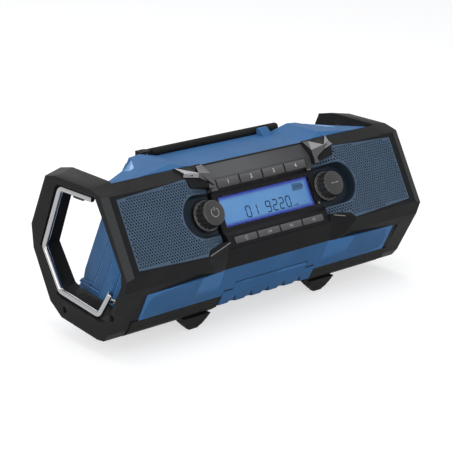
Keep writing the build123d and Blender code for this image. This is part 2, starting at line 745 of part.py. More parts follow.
def make_cone():
    rim = -baffle_depth + 1.6
    cone = disc(speaker_x, speaker_s, speaker_radius - 1.0, rim + seat, rim + 1.0)
    cone += taper(speaker_x, speaker_s, 8.0, cone_radius - 1.2, -19.0, rim + seat)
    cone -= taper(speaker_x, speaker_s, 7.0, cone_radius - 2.2, -18.4, rim + 1.1)
    cone += disc(speaker_x, speaker_s, 6.0, -25.5, -19.0)
    return cone


def make_magnet():
    return disc(speaker_x, speaker_s, magnet_radius, magnet_rear, -28.0 - seat)


# ================================================================ ports and their cover
def cover_outline():
    outer = [(hinge_y - barrel_radius, hinge_z), (panel_low_y - 0.4, panel_low_z - 0.6),
             (cover_foot_y, cover_foot_z)]
    inner = [(-43.8, 21.6), (panel_low_y + 3.0, panel_low_z + 0.2), (hinge_y + barrel_radius - 0.4, hinge_z)]
    return outer + inner


def finger_scoop(x):
    """Rod that leans over the cover's lower face, so that it cuts deepest at the lower edge."""
    crease_y, crease_z = panel_low_y - 0.4, panel_low_z - 0.6
    run_y, run_z = cover_foot_y - crease_y, cover_foot_z - crease_z
    out_y, out_z = run_z / hypot(run_y, run_z), -run_y / hypot(run_y, run_z)
    near, far = scoop_radius - scoop_depth, scoop_radius + 0.6
    foot_y, foot_z = cover_foot_y + near * out_y, cover_foot_z + near * out_z
    top_y, top_z = crease_y + far * out_y, crease_z + far * out_z
    beyond = 1.5
    return rod((x, top_y, top_z),
               (x, top_y + beyond * (foot_y - top_y), top_z + beyond * (foot_z - top_z)), scoop_radius)


def make_port_cover():
    cover = bar(cover_outline(), -cover_half, cover_half)
    cover += rod((-cover_half, hinge_y, hinge_z), (cover_half, hinge_y, hinge_z), barrel_radius)
    ears = bar([(-54.4, cover_ear_z), (panel_low_y - 0.4, panel_low_z - 0.6),
                (cover_foot_y, cover_foot_z), (-43.8, 21.6), (panel_low_y + 3.0, panel_low_z + 0.2),
                (-51.0, cover_ear_z)], -cover_ear, cover_ear)
    cover += ears
    pitch = 2 * cover_ear / (finger_scoops + 0.6)
    for i in range(finger_scoops):
        cover -= finger_scoop((i - (finger_scoops - 1) / 2) * pitch)
    cover -= rod((-90, hinge_y, hinge_z), (90, hinge_y, hinge_z), hinge_pin_radius + running_fit)
    return cover


def make_port_box():
    half = cover_half + gap
    box = block(-half - port_wall, half + port_wall, -60, port_back_y + port_wall, 24.8,
                cover_top_z + gap + port_wall)
    box -= block(-half, half, -80, port_back_y, 10, cover_top_z + gap)
    box -= bar([(-90, 70), (-59.4, 64.6), (-45.4, 33.5), (-40.2, 24.4), (-40.2, 10), (-90, 10)], -100, 100)
    box -= both_sides(block(half - 0.1, half + port_wall + 1, -60, -49.8, 39.4, 60))
    box -= block(usb_x - 7, usb_x + 7, -60, 0, socket_z - 3.5, socket_z + 3.5)
    for x, radius in ((aux_x, 4.0), (dc_x, 5.0)):
        box -= rod((x, -60, socket_z), (x, 0, socket_z), radius)
    return box


def make_usb():
    front, back = port_back_y - 1.0, port_back_y + 12.0
    shell = block(usb_x - 6.9, usb_x + 6.9, front, back, socket_z - 3.4, socket_z + 3.4)
    shell -= block(usb_x - 6.2, usb_x + 6.2, front - 1, back - 2, socket_z - 2.6, socket_z + 2.6)
    shell += block(usb_x - 5.5, usb_x + 5.5, front + 2, back - 1, socket_z + 0.2, socket_z + 1.8)
    return shell


def make_round_socket(x, radius, bore, depth, pin=0.0):
    front = port_back_y - 1.0
    socket = rod((x, front, socket_z), (x, port_back_y + 12, socket_z), radius)
    socket -= rod((x, front - 1, socket_z), (x, front + depth, socket_z), bore)
    if pin:
        socket += rod((x, front + 1.5, socket_z), (x, front + depth + 0.5, socket_z), pin)
    return socket


# ================================================================ base bumpers and feet
def make_bumper():
    outline = [(panel_low_y, panel_low_z - 0.1), (-45.0, 19.5), (-37.5, foot_height), (-16.0, foot_height),
               (-16.0, 17.3), (-30.2, 17.3), (-43.2, 20.9), (panel_low_y + 3.1, panel_low_z - 0.1)]
    strip = bar(outline, cover_ear + gap, housing_half)
    return strip + make_foot(-1)


def make_foot(side):
    """Foot that widens upward, on the front (side -1) or at the rear (side 1)."""
    faces = []
    for z, half, outer, inner in foot_stages:
        points = [(foot_x - half, side * outer), (foot_x + half, side * outer),
                  (foot_x + half, side * inner), (foot_x - half, side * inner)]
        faces.append((Plane.XY.offset(z) * make_face(Polyline(*points, close=True))).face())
    foot = loft(faces[:2], ruled=True)
    for lower, upper in zip(faces[1:], faces[2:]):
        foot += loft([lower, upper], ruled=True)
    return foot


def make_pad(x, side):
    faces = []
    for z, half, depth in zip((0, pad_thick - seat), pad_half, pad_depth):
        outer, inner = depth
        points = [(x - half, side * outer), (x + half, side * outer),
                  (x + half, side * inner), (x - half, side * inner)]
        faces.append((Plane.XY.offset(z) * make_face(Polyline(*points, close=True))).face())
    return loft(faces, ruled=True)


def make_rear_bumper():
    strip = bar([(14.0, foot_height), (40.5, foot_height), (38.0, 17.4), (14.0, 17.4)], 60, 125)
    return strip + make_foot(1)


# ================================================================ hook and its holders
def make_hook():
    path = Plane.YZ.offset(-hook_x) * FilletPolyline(*hook_path, radius=hook_bend)
    return sweep(sections=(path ^ 0) * Circle(wire_radius), path=path)


def make_hook_clip():
    axis_start = (-hook_x, clip_y0, hook_axis_z)
    axis_end = (-hook_x, clip_y1, hook_axis_z)
    clip = rod(axis_start, axis_end, wire_radius + 1.8)
    clip += block(-hook_x, -hook_x + 9, clip_y0, clip_y1, hook_axis_z - 3.5, opening_top_z - seat)
    clip -= rod((-hook_x, clip_y0 - 1, hook_axis_z), (-hook_x, clip_y1 + 1, hook_axis_z),
                wire_radius + running_fit)
    clip -= block(-300, 300, clip_y0 - 1, clip_y1 + 1, opening_top_z - seat, 300)
    clip -= block(-300, -hook_x - clip_lip, clip_y0 - 1, clip_y1 + 1, 0, 300)
    return clip


# ================================================================ antenna
def make_antenna_base():
    z0, z1 = channel_z + seat, antenna_z + 3.4
    base = block(antenna_pivot_x - 7, antenna_pivot_x + 4.5, 27.8, 37.4, z0, z1)
    base -= block(antenna_pivot_x - 4.8, antenna_pivot_x + 20, antenna_y - tongue_half - 0.2,
                  antenna_y + tongue_half + 0.2, z0 - 1, z1 + 1)
    base -= rod((antenna_pivot_x, 20, antenna_z), (antenna_pivot_x, 45, antenna_z),
                antenna_pin_radius + seat)
    return base


def make_antenna():
    start = antenna_pivot_x + 7.5
    whip = rod((start, antenna_y, antenna_z), (antenna_tip_x - antenna_radius, antenna_y, antenna_z),
               antenna_radius)
    whip += Pos(antenna_tip_x - antenna_radius, antenna_y, antenna_z) * Sphere(antenna_radius)
    tongue = block(antenna_pivot_x, start + 2, antenna_y - tongue_half, antenna_y + tongue_half,
                   antenna_z - 3.6, antenna_z + 3.6)
    tongue += rod((antenna_pivot_x, antenna_y - tongue_half, antenna_z),
                  (antenna_pivot_x, antenna_y + tongue_half, antenna_z), 3.6)
    whip += tongue
    whip -= rod((antenna_pivot_x, 20, antenna_z), (antenna_pivot_x, 45, antenna_z),
                antenna_pin_radius + running_fit)
    return whip


# ================================================================ battery bay
def make_battery_bay():
    half = battery_half + battery_wall
    tray = block(-half, half, battery_floor_y - battery_wall, 80, battery_low_z - battery_wall,
                 battery_high_z + battery_wall)
    tray -= block(-battery_half, battery_half, battery_floor_y, 90, battery_low_z, battery_high_z)
    rim = block(-half - 2, half + 2, 30, 80, battery_low_z - battery_wall - 2,
                battery_high_z + battery_wall + 2)
    rim -= block(-half + 1, half - 1, 0, 90, battery_low_z - 1, battery_high_z + 1)
    rim &= housing_body(0.2) - housing_body(wall)
    tray = (tray & housing_body(0.2)) + rim
    for side in (1, -1):
        x0, x1 = sorted((side * (battery_half - 4), side * battery_half))
        tray += block(x0, x1, battery_floor_y + 14, battery_floor_y + 18, battery_low_z, battery_high_z - 20)
    return tray


def make_terminals():
    floor = battery_floor_y + seat
    body = block(-20, 20, floor, floor + 11, battery_high_z - 18, battery_high_z - 2)
    for x in (-13, -5, 5, 13):
        body += block(x - 0.6, x + 0.6, floor + 3, floor + 9, battery_high_z - 30, battery_high_z - 18)
    return body


# ================================================================ screws
def make_screw(start, end):
    """Screw whose head is at start and whose shank ends at end."""
    start, end = Vector(start), Vector(end)
    along = (end - start).normalized()
    neck = start + along * (screw_head - seat)
    screw = rod(start, neck, screw_head_radius)
    screw += rod(neck, end, screw_shank_radius)
    socket = Plane(origin=start, z_dir=along)
    screw -= extrude(socket * RegularPolygon(1.4, 6), amount=1.4)
    return screw


def make_parts():
    parts = {
        "left_end_frame": other_side(make_end_frame(True)),
        "right_end_frame": make_end_frame(False),
        "front_housing": make_front_housing(),
        "rear_housing": make_rear_housing(),
        "front_bezel": make_bezel(),
        "control_panel": make_control_panel(),
        "speaker_baffle": make_baffle(),
    }
    for side, name in ((-1, "left"), (1, "right")):
        place = other_side if side < 0 else (lambda shape: shape)
        parts[f"{name}_grille"] = place(make_grille())
        parts[f"{name}_speaker_basket"] = place(make_basket())
        parts[f"{name}_speaker_cone"] = place(make_cone())
        parts[f"{name}_speaker_magnet"] = place(make_magnet())
        parts[f"{name}_base_bumper"] = place(make_bumper())
        parts[f"{name}_rear_foot"] = place(make_rear_bumper())
    for x, name in ((-knob_x, "volume"), (knob_x, "tuning")):
        parts[f"{name}_knob"] = make_knob(x)
        parts[f"{name}_shaft"] = make_shaft(x)
        parts[f"{name}_encoder_rotor"] = make_rotor(x)
        parts[f"{name}_encoder_body"] = make_encoder_body(x)
    for i, x in enumerate(key_places(), 1):
        parts[f"preset_key_{i}"] = make_key(x, preset_low, preset_high)
        parts[f"function_key_{i}"] = make_key(x, function_low, function_high)
    parts["preset_keymat"] = make_keymat(preset_low - 2, preset_high + 2)
    parts["function_keymat"] = make_keymat(function_low - 2, function_high + 2)
    edge = 0.1
    parts["lcd_lens"] = slope_box(-lcd_half + edge, lcd_half - edge, lcd_low + edge, lcd_high - edge,
                                  -lcd_depth - lens_thick, -lcd_depth - 0.1)
    parts["lcd_glass"] = slope_box(-glass_half, glass_half, 20.5, 54.8, -15.3,
                                   -lcd_depth - panel_thick - seat)
    parts["lcd_backlight"] = slope_box(-glass_half, glass_half, 20.5, 54.8, board_top + seat, -15.35)
    parts["main_board"] = slope_box(-board_half, board_half, 3.0, 73.4, board_top - board_thick, board_top)
    parts["port_cover"] = make_port_cover()
    parts["port_cover_pin"] = rod((-lug_outer, hinge_y, hinge_z), (lug_outer, hinge_y, hinge_z),
                                  hinge_pin_radius)
    parts["port_box"] = make_port_box()
    parts["usb_socket"] = make_usb()
    parts["aux_socket"] = make_round_socket(aux_x, 3.9, 1.8, 10)
    parts["dc_socket"] = make_round_socket(dc_x, 4.9, 2.8, 9, 1.0)
    parts["foot_pads"] = Compound([make_pad(x, side) for x in (-foot_x, foot_x) for side in (-1, 1)])
    parts["hanging_hook"] = make_hook()
    parts["hook_clip"] = make_hook_clip()
    parts["hook_keeper"] = rod((-keeper_x, keeper_y0 + seat, keeper_z), (-keeper_x, keeper_y1, keeper_z),
                               keeper_radius)
    parts["antenna_base"] = make_antenna_base()
    parts["antenna"] = make_antenna()
    parts["antenna_pin"] = rod((antenna_pivot_x, 27.9, antenna_z), (antenna_pivot_x, 37.3, antenna_z),
                               antenna_pin_radius)
    parts["battery_bay"] = make_battery_bay()
    parts["battery_terminals"] = make_terminals()
    parts["frame_screws"] = Compound([
        make_screw((side * (half_length - frame_screw_inset), y, z),
                   (side * (half_length - frame_screw_inset - screw_length), y, z))
        for side in (-1, 1) for y, z in frame_screws])
    parts["housing_screws"] = Compound([make_screw((x, y, z), (x, y - screw_length, z))
                                        for x, y, z in housing_screw_places()])
    return parts


os.makedirs("parts", exist_ok=True)
all_parts = make_parts()
for part_name, part_shape in all_parts.items():
    save(part_shape, part_name)
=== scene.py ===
import json
from math import cos, hypot, pi, radians, sin

import bmesh
import bpy
from mathutils import Matrix, Vector
from mathutils.geometry import delaunay_2d_cdt


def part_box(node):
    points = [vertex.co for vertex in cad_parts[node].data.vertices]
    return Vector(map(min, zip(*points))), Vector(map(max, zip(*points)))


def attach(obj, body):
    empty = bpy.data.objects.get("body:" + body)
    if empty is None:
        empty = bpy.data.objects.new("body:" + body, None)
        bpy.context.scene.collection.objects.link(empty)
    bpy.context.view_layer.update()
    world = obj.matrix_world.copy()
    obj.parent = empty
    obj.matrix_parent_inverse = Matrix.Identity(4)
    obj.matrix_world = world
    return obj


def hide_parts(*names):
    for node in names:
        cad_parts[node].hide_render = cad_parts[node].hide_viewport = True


bl_info = {
    "name": "Jobsite radio",
    "version": (1, 0, 0),
    "blender": (4, 5, 0),
    "location": "View3D > Sidebar > Radio",
    "description": "Dresses the jobsite radio's frame with finishes and fine parts",
    "category": "Object",
}

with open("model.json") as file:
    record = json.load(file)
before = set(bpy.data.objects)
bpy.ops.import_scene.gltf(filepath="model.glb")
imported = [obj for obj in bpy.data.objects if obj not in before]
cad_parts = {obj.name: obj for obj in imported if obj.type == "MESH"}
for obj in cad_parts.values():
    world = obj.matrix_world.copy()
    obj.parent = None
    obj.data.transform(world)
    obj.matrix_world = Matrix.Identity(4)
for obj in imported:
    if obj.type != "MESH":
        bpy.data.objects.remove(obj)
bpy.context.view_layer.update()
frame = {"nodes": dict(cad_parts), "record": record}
nodes = frame["nodes"]

# Places are written in millimetres and turned into metres where a mesh is made.
MM = 0.001
LEAN = radians(28.15)
FRONT_EDGE_Y, FRONT_EDGE_Z = -77.6, 85.0
ALONG = Vector((1, 0, 0))
OUTWARD = Vector((0, -cos(LEAN), sin(LEAN)))
UPWARD = Vector((0, sin(LEAN), cos(LEAN)))
HALF_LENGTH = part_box("right_end_frame")[1][0] / MM
SIDES = ((-1, "left"), (1, "right"))

# knobs and the long recess round each
KNOB_X, KNOB_S = 77.4, 39.0
KNOB_TOP, KNOB_BOTTOM = 5.3, -9.9
DISH_START, DISH_END = 55.0, 88.5
DISH_RADIUS, DISH_LOW_RADIUS, DISH_DEPTH = 21.5, 19.0, 11.4
DISH_FLOOR = 16.4

# grilles, as (x, distance up the slope)
GRILLE_OUTLINE = [(175.0, 5.0), (175.0, 71.6), (93.5, 76.2), (91.3, 66.8), (68.0, 63.3), (68.0, 11.6),
                  (91.0, 6.5), (95.5, 1.2)]
GRILLE_CREASE, GRILLE_ROOT = 96.0, 68.0
GRILLE_RECESS, GRILLE_FALL = 0.6, 9.0

# display and keys
GLASS_TOP = -10.95
WINDOW_HALF, WINDOW_LOW, WINDOW_HIGH = 57.5, 24.0, 53.2
KEY_PITCH, KEY_TOP = 29.0, -4.3
PRESET_MIDDLE, FUNCTION_MIDDLE = 65.5, 9.8
NUMBER_HEIGHT, CAPITAL_SHARE = 3.9, 0.72

# hook wire
HOOK_PATH = [(-24.4, 146.4), (25.4, 146.4), (55.0, 83.2), (30.4, 44.6), (-30.2, 38.0), (-48.2, 63.7)]
HOOK_X, HOOK_BEND, WIRE_RADIUS = -187.0, 7.0, 2.9


# ---------------------------------------------------------------- settings
class RadioColours(bpy.types.PropertyGroup):
    """Colours of the radio's finishes."""

    housing: bpy.props.FloatVectorProperty(
        name="Housing", description="Blue of the shell and the port cover",
        default=(0.050, 0.148, 0.325), size=3, subtype="COLOR", min=0, max=1)
    frame: bpy.props.FloatVectorProperty(
        name="Frames", description="Black of the end frames and the bezel",
        default=(0.0155, 0.0157, 0.0165), size=3, subtype="COLOR", min=0, max=1)
    grille: bpy.props.FloatVectorProperty(
        name="Grilles", description="Slate blue of the speaker grilles",
        default=(0.070, 0.112, 0.168), size=3, subtype="COLOR", min=0, max=1)
    # The hood's grey is partly its own colour and partly a painted reflection of light from above.
    panel: bpy.props.FloatVectorProperty(
        name="Hood", description="Grey of the hood above the keys",
        default=(0.100, 0.101, 0.106), size=3, subtype="COLOR", min=0, max=1)
    plate: bpy.props.FloatVectorProperty(
        name="Panel", description="Dark grey of the panel round the display",
        default=(0.011, 0.011, 0.013), size=3, subtype="COLOR", min=0, max=1)
    display: bpy.props.FloatVectorProperty(
        name="Display", description="Lit colour of the display",
        default=(0.125, 0.294, 0.571), size=3, subtype="COLOR", min=0, max=1)
    display_border: bpy.props.FloatVectorProperty(
        name="Display border", description="Deeper colour round the lit field",
        default=(0.030, 0.042, 0.330), size=3, subtype="COLOR", min=0, max=1)


class RadioSizes(bpy.types.PropertyGroup):
    """Sizes of the fine parts."""

    edge: bpy.props.FloatProperty(
        name="Edge", description="Rounding of moulded edges",
        default=0.0006, unit="LENGTH", min=0.0001, max=0.002)
    hole_pitch: bpy.props.FloatProperty(
        name="Hole pitch", description="Distance between the holes of a grille along a row",
        default=0.0030, unit="LENGTH", min=0.002, max=0.006)
    hole_row: bpy.props.FloatProperty(
        name="Hole rows", description="Distance between the rows of holes",
        default=0.0026, unit="LENGTH", min=0.002, max=0.006)
    hole_length: bpy.props.FloatProperty(
        name="Hole length", description="Length of a hole of a grille",
        default=0.0026, unit="LENGTH", min=0.0008, max=0.003)
    hole_width: bpy.props.FloatProperty(
        name="Hole width", description="Width of a hole of a grille",
        default=0.0016, unit="LENGTH", min=0.0005, max=0.003)
    sheet: bpy.props.FloatProperty(
        name="Grille sheet", description="Thickness of the perforated sheet",
        default=0.0011, unit="LENGTH", min=0.0004, max=0.0016)
    mark_depth: bpy.props.FloatProperty(
        name="Mark depth", description="Thickness of printed marks",
        default=0.00008, unit="LENGTH", min=0.00002, max=0.0005)
    flutes: bpy.props.IntProperty(
        name="Flutes", description="Grooves round a knob", default=16, min=6, max=40)


def sizes():
    return bpy.context.scene.radio_sizes


# ---------------------------------------------------------------- places
def clamp(value, low=0.0, high=1.0):
    return max(low, min(high, value))


def on_front(x, s, h):
    """Point s mm up the front slope and h mm proud of it, in metres."""
    edge = Vector((x, FRONT_EDGE_Y, FRONT_EDGE_Z))
    return (edge + UPWARD * s + OUTWARD * h) * MM


def place(x, y, z):
    return Vector((x, y, z)) * MM


def mirrored(line, side):
    """A line of (x, s) points as it runs on the left (-1) or the right (1)."""
    return [(side * x, s) for x, s in line]


def key_middle(number):
    """x of the middle of a key, counted from 1."""
    return (number - 2.5) * KEY_PITCH


# ---------------------------------------------------------------- materials
def shade(colour, share):
    return tuple(c * share for c in colour)


class Nodes:
    """A node tree under construction."""

    def __init__(self, tree):
        self.tree = tree

    def add(self, kind, **values):
        node = self.tree.nodes.new(kind)
        for key, value in values.items():
            setattr(node, key, value)
        return node

    def link(self, start, end):
        self.tree.links.new(start, end)

    def feed(self, value, socket):
        """Links an output to a socket, or sets the socket to a plain value."""
        if isinstance(value, bpy.types.NodeSocket):
            self.link(value, socket)
        else:
            socket.default_value = value

    def math(self, kind, *values):
        node = self.add("ShaderNodeMath", operation=kind)
        for value, socket in zip(values, node.inputs):
            self.feed(value, socket)
        return node.outputs[0]

    def mix(self, share, one, two):
        """Mixes two colours, each a colour or an output, by share."""
        node = self.add("ShaderNodeMix", data_type="RGBA")
        self.link(share, node.inputs["Factor"])
        for value, socket in ((one, node.inputs["A"]), (two, node.inputs["B"])):
            self.feed(value if isinstance(value, bpy.types.NodeSocket) else (*value, 1.0), socket)
        return node.outputs["Result"]

    def seen(self):
        """One for rays that see the surroundings themselves."""
        ray = self.add("ShaderNodeLightPath").outputs
        mirrored_or_clear = self.math("MAXIMUM", ray["Is Glossy Ray"], ray["Is Transmission Ray"])
        return self.math("MAXIMUM", ray["Is Camera Ray"], mirrored_or_clear)


class Shader(Nodes):
    """A material under construction."""

    EDGE_START, EDGE_FULL = 0.53, 0.62

    def __init__(self, name):
        self.material = bpy.data.materials.new(name)
        self.material.use_nodes = True
        super().__init__(self.material.node_tree)
        self.main = self.tree.nodes["Principled BSDF"]
        self.coords = self.add("ShaderNodeTexCoord").outputs["Object"]

    def axis(self, source, letter):
        split = self.add("ShaderNodeSeparateXYZ")
        self.link(source, split.inputs[0])
        return split.outputs[letter]

    def across(self):
        """Place along the radio's length, in metres."""
        return self.axis(self.coords, "X")

    def up_slope(self):
        """Distance up the front slope, in metres."""
        height = self.add("ShaderNodeVectorMath", operation="DOT_PRODUCT")
        self.link(self.coords, height.inputs[0])
        height.inputs[1].default_value = UPWARD
        return self.math("SUBTRACT", height.outputs["Value"], UPWARD.dot(on_front(0, 0, 0)))

    def looks(self, letter):
        """How far a face looks along an axis of the radio."""
        return self.axis(self.add("ShaderNodeTexCoord").outputs["Normal"], letter)

    def forward(self, least, most):
        """One on the faces that look forward, nought elsewhere."""
        return self.ramp(self.math("MULTIPLY", self.looks("Y"), -1.0), 0.0, 1.0, least, most)

    def noise(self, scale, detail):
        node = self.add("ShaderNodeTexNoise")
        node.inputs["Scale"].default_value = scale
        node.inputs["Detail"].default_value = detail
        self.link(self.coords, node.inputs["Vector"])
        return node.outputs["Fac"]

    def ramp(self, value, low, high, start=0.3, end=0.7, smooth=False):
        node = self.add("ShaderNodeMapRange")
        if smooth:
            node.interpolation_type = "SMOOTHSTEP"
        for key, number in (("From Min", start), ("From Max", end), ("To Min", low), ("To Max", high)):
            node.inputs[key].default_value = number
        self.link(value, node.inputs["Value"])
        return node.outputs["Result"]

    def patches(self, scale, detail, low=0.0, high=1.0):
        """Value that wanders between two limits over the surface."""
        return self.ramp(self.noise(scale, detail), low, high)

    def edges(self):
        """Share that grows towards convex edges."""
        geometry = self.add("ShaderNodeNewGeometry")
        return self.ramp(geometry.outputs["Pointiness"], 0.0, 1.0, self.EDGE_START, self.EDGE_FULL)

    def front_bevels(self, least, most, outer=0.0):
        """One on the faces that look forward and a little to one side, nought elsewhere: the mask of a
        painted highlight where the front lamps fall.
        """
        aside = self.ramp(self.math("ABSOLUTE", self.looks("X")), 0.0, 1.0, least, most)
        beyond = self.ramp(self.math("ABSOLUTE", self.across()), 0.0, 1.0, outer - 0.0005, outer)
        return self.math("MULTIPLY", beyond, self.math("MULTIPLY", aside, self.forward(0.72, 0.80)))

    def scoops(self):
        """One on the right-hand wall of each hollow in a face that looks forward, nought elsewhere: the mask
        of painted shade.
        """
        turned = self.ramp(self.looks("X"), 1.0, 0.0, -0.30, -0.03)
        return self.math("MULTIPLY", turned, self.forward(0.50, 0.62))

    def finished(self, colour, rough, grain=None, **values):
        """The material with its colour, roughness patches, grain and plain values in place."""
        self.link(colour, self.main.inputs["Base Color"])
        self.link(self.patches(*rough), self.main.inputs["Roughness"])
        if grain:
            scale, detail, strength, distance = grain
            bump = self.add("ShaderNodeBump")
            bump.inputs["Strength"].default_value = strength
            bump.inputs["Distance"].default_value = distance
            self.link(self.noise(scale, detail), bump.inputs["Height"])
            self.link(bump.outputs["Normal"], self.main.inputs["Normal"])
        for key, value in values.items():
            self.main.inputs[key.replace("_", " ")].default_value = value
        return self.material


def moulded(name, colour, rough, wear=0.35, specular=0.15, bevel_highlight=None, scoops=None):
    """Textured moulded plastic with flow marks and worn edges, and paler faces that look forward and aside (a
    painted highlight) or darker scoop walls (painted shade).
    """
    shader = Shader(name)
    base = shader.mix(shader.patches(28.0, 4.0), shade(colour, 0.86), colour)
    # Faces that look forward and aside are painted paler, a painted highlight.
    if bevel_highlight:
        base = shader.mix(shader.front_bevels(*bevel_highlight[1:]), base, bevel_highlight[0])
    # The right-hand walls of the cover's hollows are painted darker, a painted shade.
    if scoops:
        base = shader.mix(shader.scoops(), base, scoops)
    worn = shader.ramp(shader.noise(190.0, 5.0), 0.0, wear, 0.35, 0.65)
    pale = tuple(min(1.0, c * 2.2 + 0.03) for c in colour)
    tone = shader.mix(shader.math("MULTIPLY", shader.edges(), worn), base, pale)
    return shader.finished(tone, (60.0, 5.0, rough - 0.05, rough + 0.06), (1400.0, 2.0, 0.25, 0.00012),
                           Specular_IOR_Level=specular)


def two_tone(name, plate, hood):
    """Dark panel with a paler hood from the upper key row up, which darkens to the right: the hood is partly
    a grey of its own and partly a painted reflection of light from above, and the darkening is painted
    falloff.
    """
    shader = Shader(name)
    above = shader.ramp(shader.up_slope(), 0.0, 1.0, 0.0592, 0.0600)
    # Darker to the right: painted falloff of the reflection on the hood.
    painted_falloff = shader.ramp(shader.across(), 0.0, 0.65, -0.03, 0.06, smooth=True)
    cloud = shader.patches(28.0, 4.0)
    top = shader.mix(painted_falloff, shader.mix(cloud, shade(hood, 0.92), hood), shade(hood, 0.35))
    low = shader.mix(cloud, shade(plate, 0.86), plate)
    return shader.finished(shader.mix(above, low, top), (60.0, 5.0, 0.38, 0.48),
                           (1400.0, 2.0, 0.25, 0.00012), Specular_IOR_Level=0.10)


def key_plastic(name, colour):
    """Key plastic that is paler towards the upper edge of either row and darker below it: painted highlight
    and painted shade.
    """
    shader = Shader(name)
    up = shader.up_slope()
    rows = []
    for middle in (FUNCTION_MIDDLE, PRESET_MIDDLE):
        low, high = (middle - 3.6) * MM, (middle + 3.4) * MM
        rise = shader.ramp(up, 0.0, 1.0, low, high)
        above = shader.ramp(up, 1.0, 0.0, high + 0.001, high + 0.0014)
        rows.append(shader.math("MULTIPLY", rise, above))
    # Upper part of each key painted paler and the rest darker: painted highlight and painted shade.
    lift = shader.math("MAXIMUM", *rows)
    tone = shader.mix(shader.patches(90.0, 4.0), shade(colour, 0.9), colour)
    top = shader.mix(lift, shade(colour, 0.50), shade(colour, 2.3))
    mixed = shader.mix(shader.patches(60.0, 3.0, 0.35, 0.65), tone, top)
    rub = shader.math("MULTIPLY", shader.edges(), 0.8)
    worn = shader.mix(rub, shader.mix(lift, mixed, top), shade(colour, 4.0))
    return shader.finished(worn, (60.0, 5.0, 0.32, 0.42), (1400.0, 2.0, 0.2, 0.0001),
                           Specular_IOR_Level=0.30)


def rubber(name, colour, rough=0.72):
    """Matt rubber with a fine stipple and dusty patches."""
    shader = Shader(name)
    dusty = tuple(c * 1.5 + 0.004 for c in colour)
    tone = shader.mix(shader.patches(45.0, 6.0, 0.0, 0.6), colour, dusty)
    return shader.finished(tone, (300.0, 3.0, rough - 0.06, rough + 0.08), (2200.0, 2.0, 0.45, 0.00015),
                           Specular_IOR_Level=0.15)


def metal(name, colour, rough):
    """Metal or metal paint with fine marks."""
    shader = Shader(name)
    tone = shader.mix(shader.patches(700.0, 3.0), shade(colour, 0.88), colour)
    return shader.finished(tone, (420.0, 4.0, rough, rough + 0.08), (700.0, 3.0, 0.06, 0.00005), Metallic=1.0)


def printed(name, colour, rough=0.45):
    """Ink or paint of a mark, a little uneven."""
    shader = Shader(name)
    tone = shader.mix(shader.patches(1500.0, 3.0), shade(colour, 0.85), colour)
    return shader.finished(tone, (900.0, 2.0, rough, rough + 0.1), Specular_IOR_Level=0.2)


def grille_sheet(name, colour):
    """Painted sheet metal, darker in the recess round the knob, where shade is painted in."""
    shader = Shader(name)
    paint = shader.mix(shader.patches(35.0, 4.0), shade(colour, 0.86), colour)
    past_end = shader.math("SUBTRACT", shader.math("ABSOLUTE", shader.across()), DISH_END * MM)
    across = shader.math("MAXIMUM", past_end, 0.0)
    up = shader.math("SUBTRACT", shader.up_slope(), KNOB_S * MM)
    square = shader.math("ADD", shader.math("MULTIPLY", across, across), shader.math("MULTIPLY", up, up))
    # Darker inside the recess round the knob: painted shade.
    inside = shader.ramp(square, 1.0, 0.0, ((DISH_RADIUS - 0.6) * MM) ** 2, (DISH_RADIUS * MM) ** 2)
    return shader.finished(shader.mix(inside, paint, shade(colour, 0.19)), (500.0, 3.0, 0.42, 0.56),
                           (1600.0, 2.0, 0.2, 0.00008), Specular_IOR_Level=0.15)


def lit_display(name, field, border):
    """Back-lit display glass with a deeper border that is blurred towards the field."""
    shader = Shader(name)
    x, up = shader.across(), shader.up_slope()
    to_right = shader.math("MULTIPLY", shader.math("SUBTRACT", WINDOW_HALF * MM, x), 0.75)
    to_left = shader.math("MULTIPLY", shader.math("ADD", x, WINDOW_HALF * MM), 2.5)
    to_top = shader.math("SUBTRACT", WINDOW_HIGH * MM, up)
    to_low = shader.math("SUBTRACT", up, WINDOW_LOW * MM)
    near = shader.math("MINIMUM", shader.math("MINIMUM", to_right, to_left),
                       shader.math("MINIMUM", to_top, to_low))
    inside = shader.ramp(near, 0.0, 1.0, 0.0002, 0.0050, smooth=True)
    tint = shader.mix(shader.patches(22.0, 2.0), shade(field, 0.94), field)
    fall = shader.ramp(x, 0.0, 0.45, 0.012, 0.052, smooth=True)
    lit = shader.mix(inside, border, shader.mix(fall, tint, shade(field, 0.62)))
    shader.link(lit, shader.main.inputs["Emission Color"])
    unlit = shader.mix(inside, shade(border, 0.2), shade(field, 0.2))
    return shader.finished(unlit, (300.0, 2.0, 0.3, 0.4), Emission_Strength=0.76, Specular_IOR_Level=0.1)


def clear(name, tint):
    """Clear moulded lens with faint scuffs."""
    shader = Shader(name)
    tone = shader.mix(shader.patches(60.0, 2.0), tint, (1.0, 1.0, 1.0))
    return shader.finished(tone, (240.0, 5.0, 0.02, 0.08), Transmission_Weight=1.0, IOR=1.12)


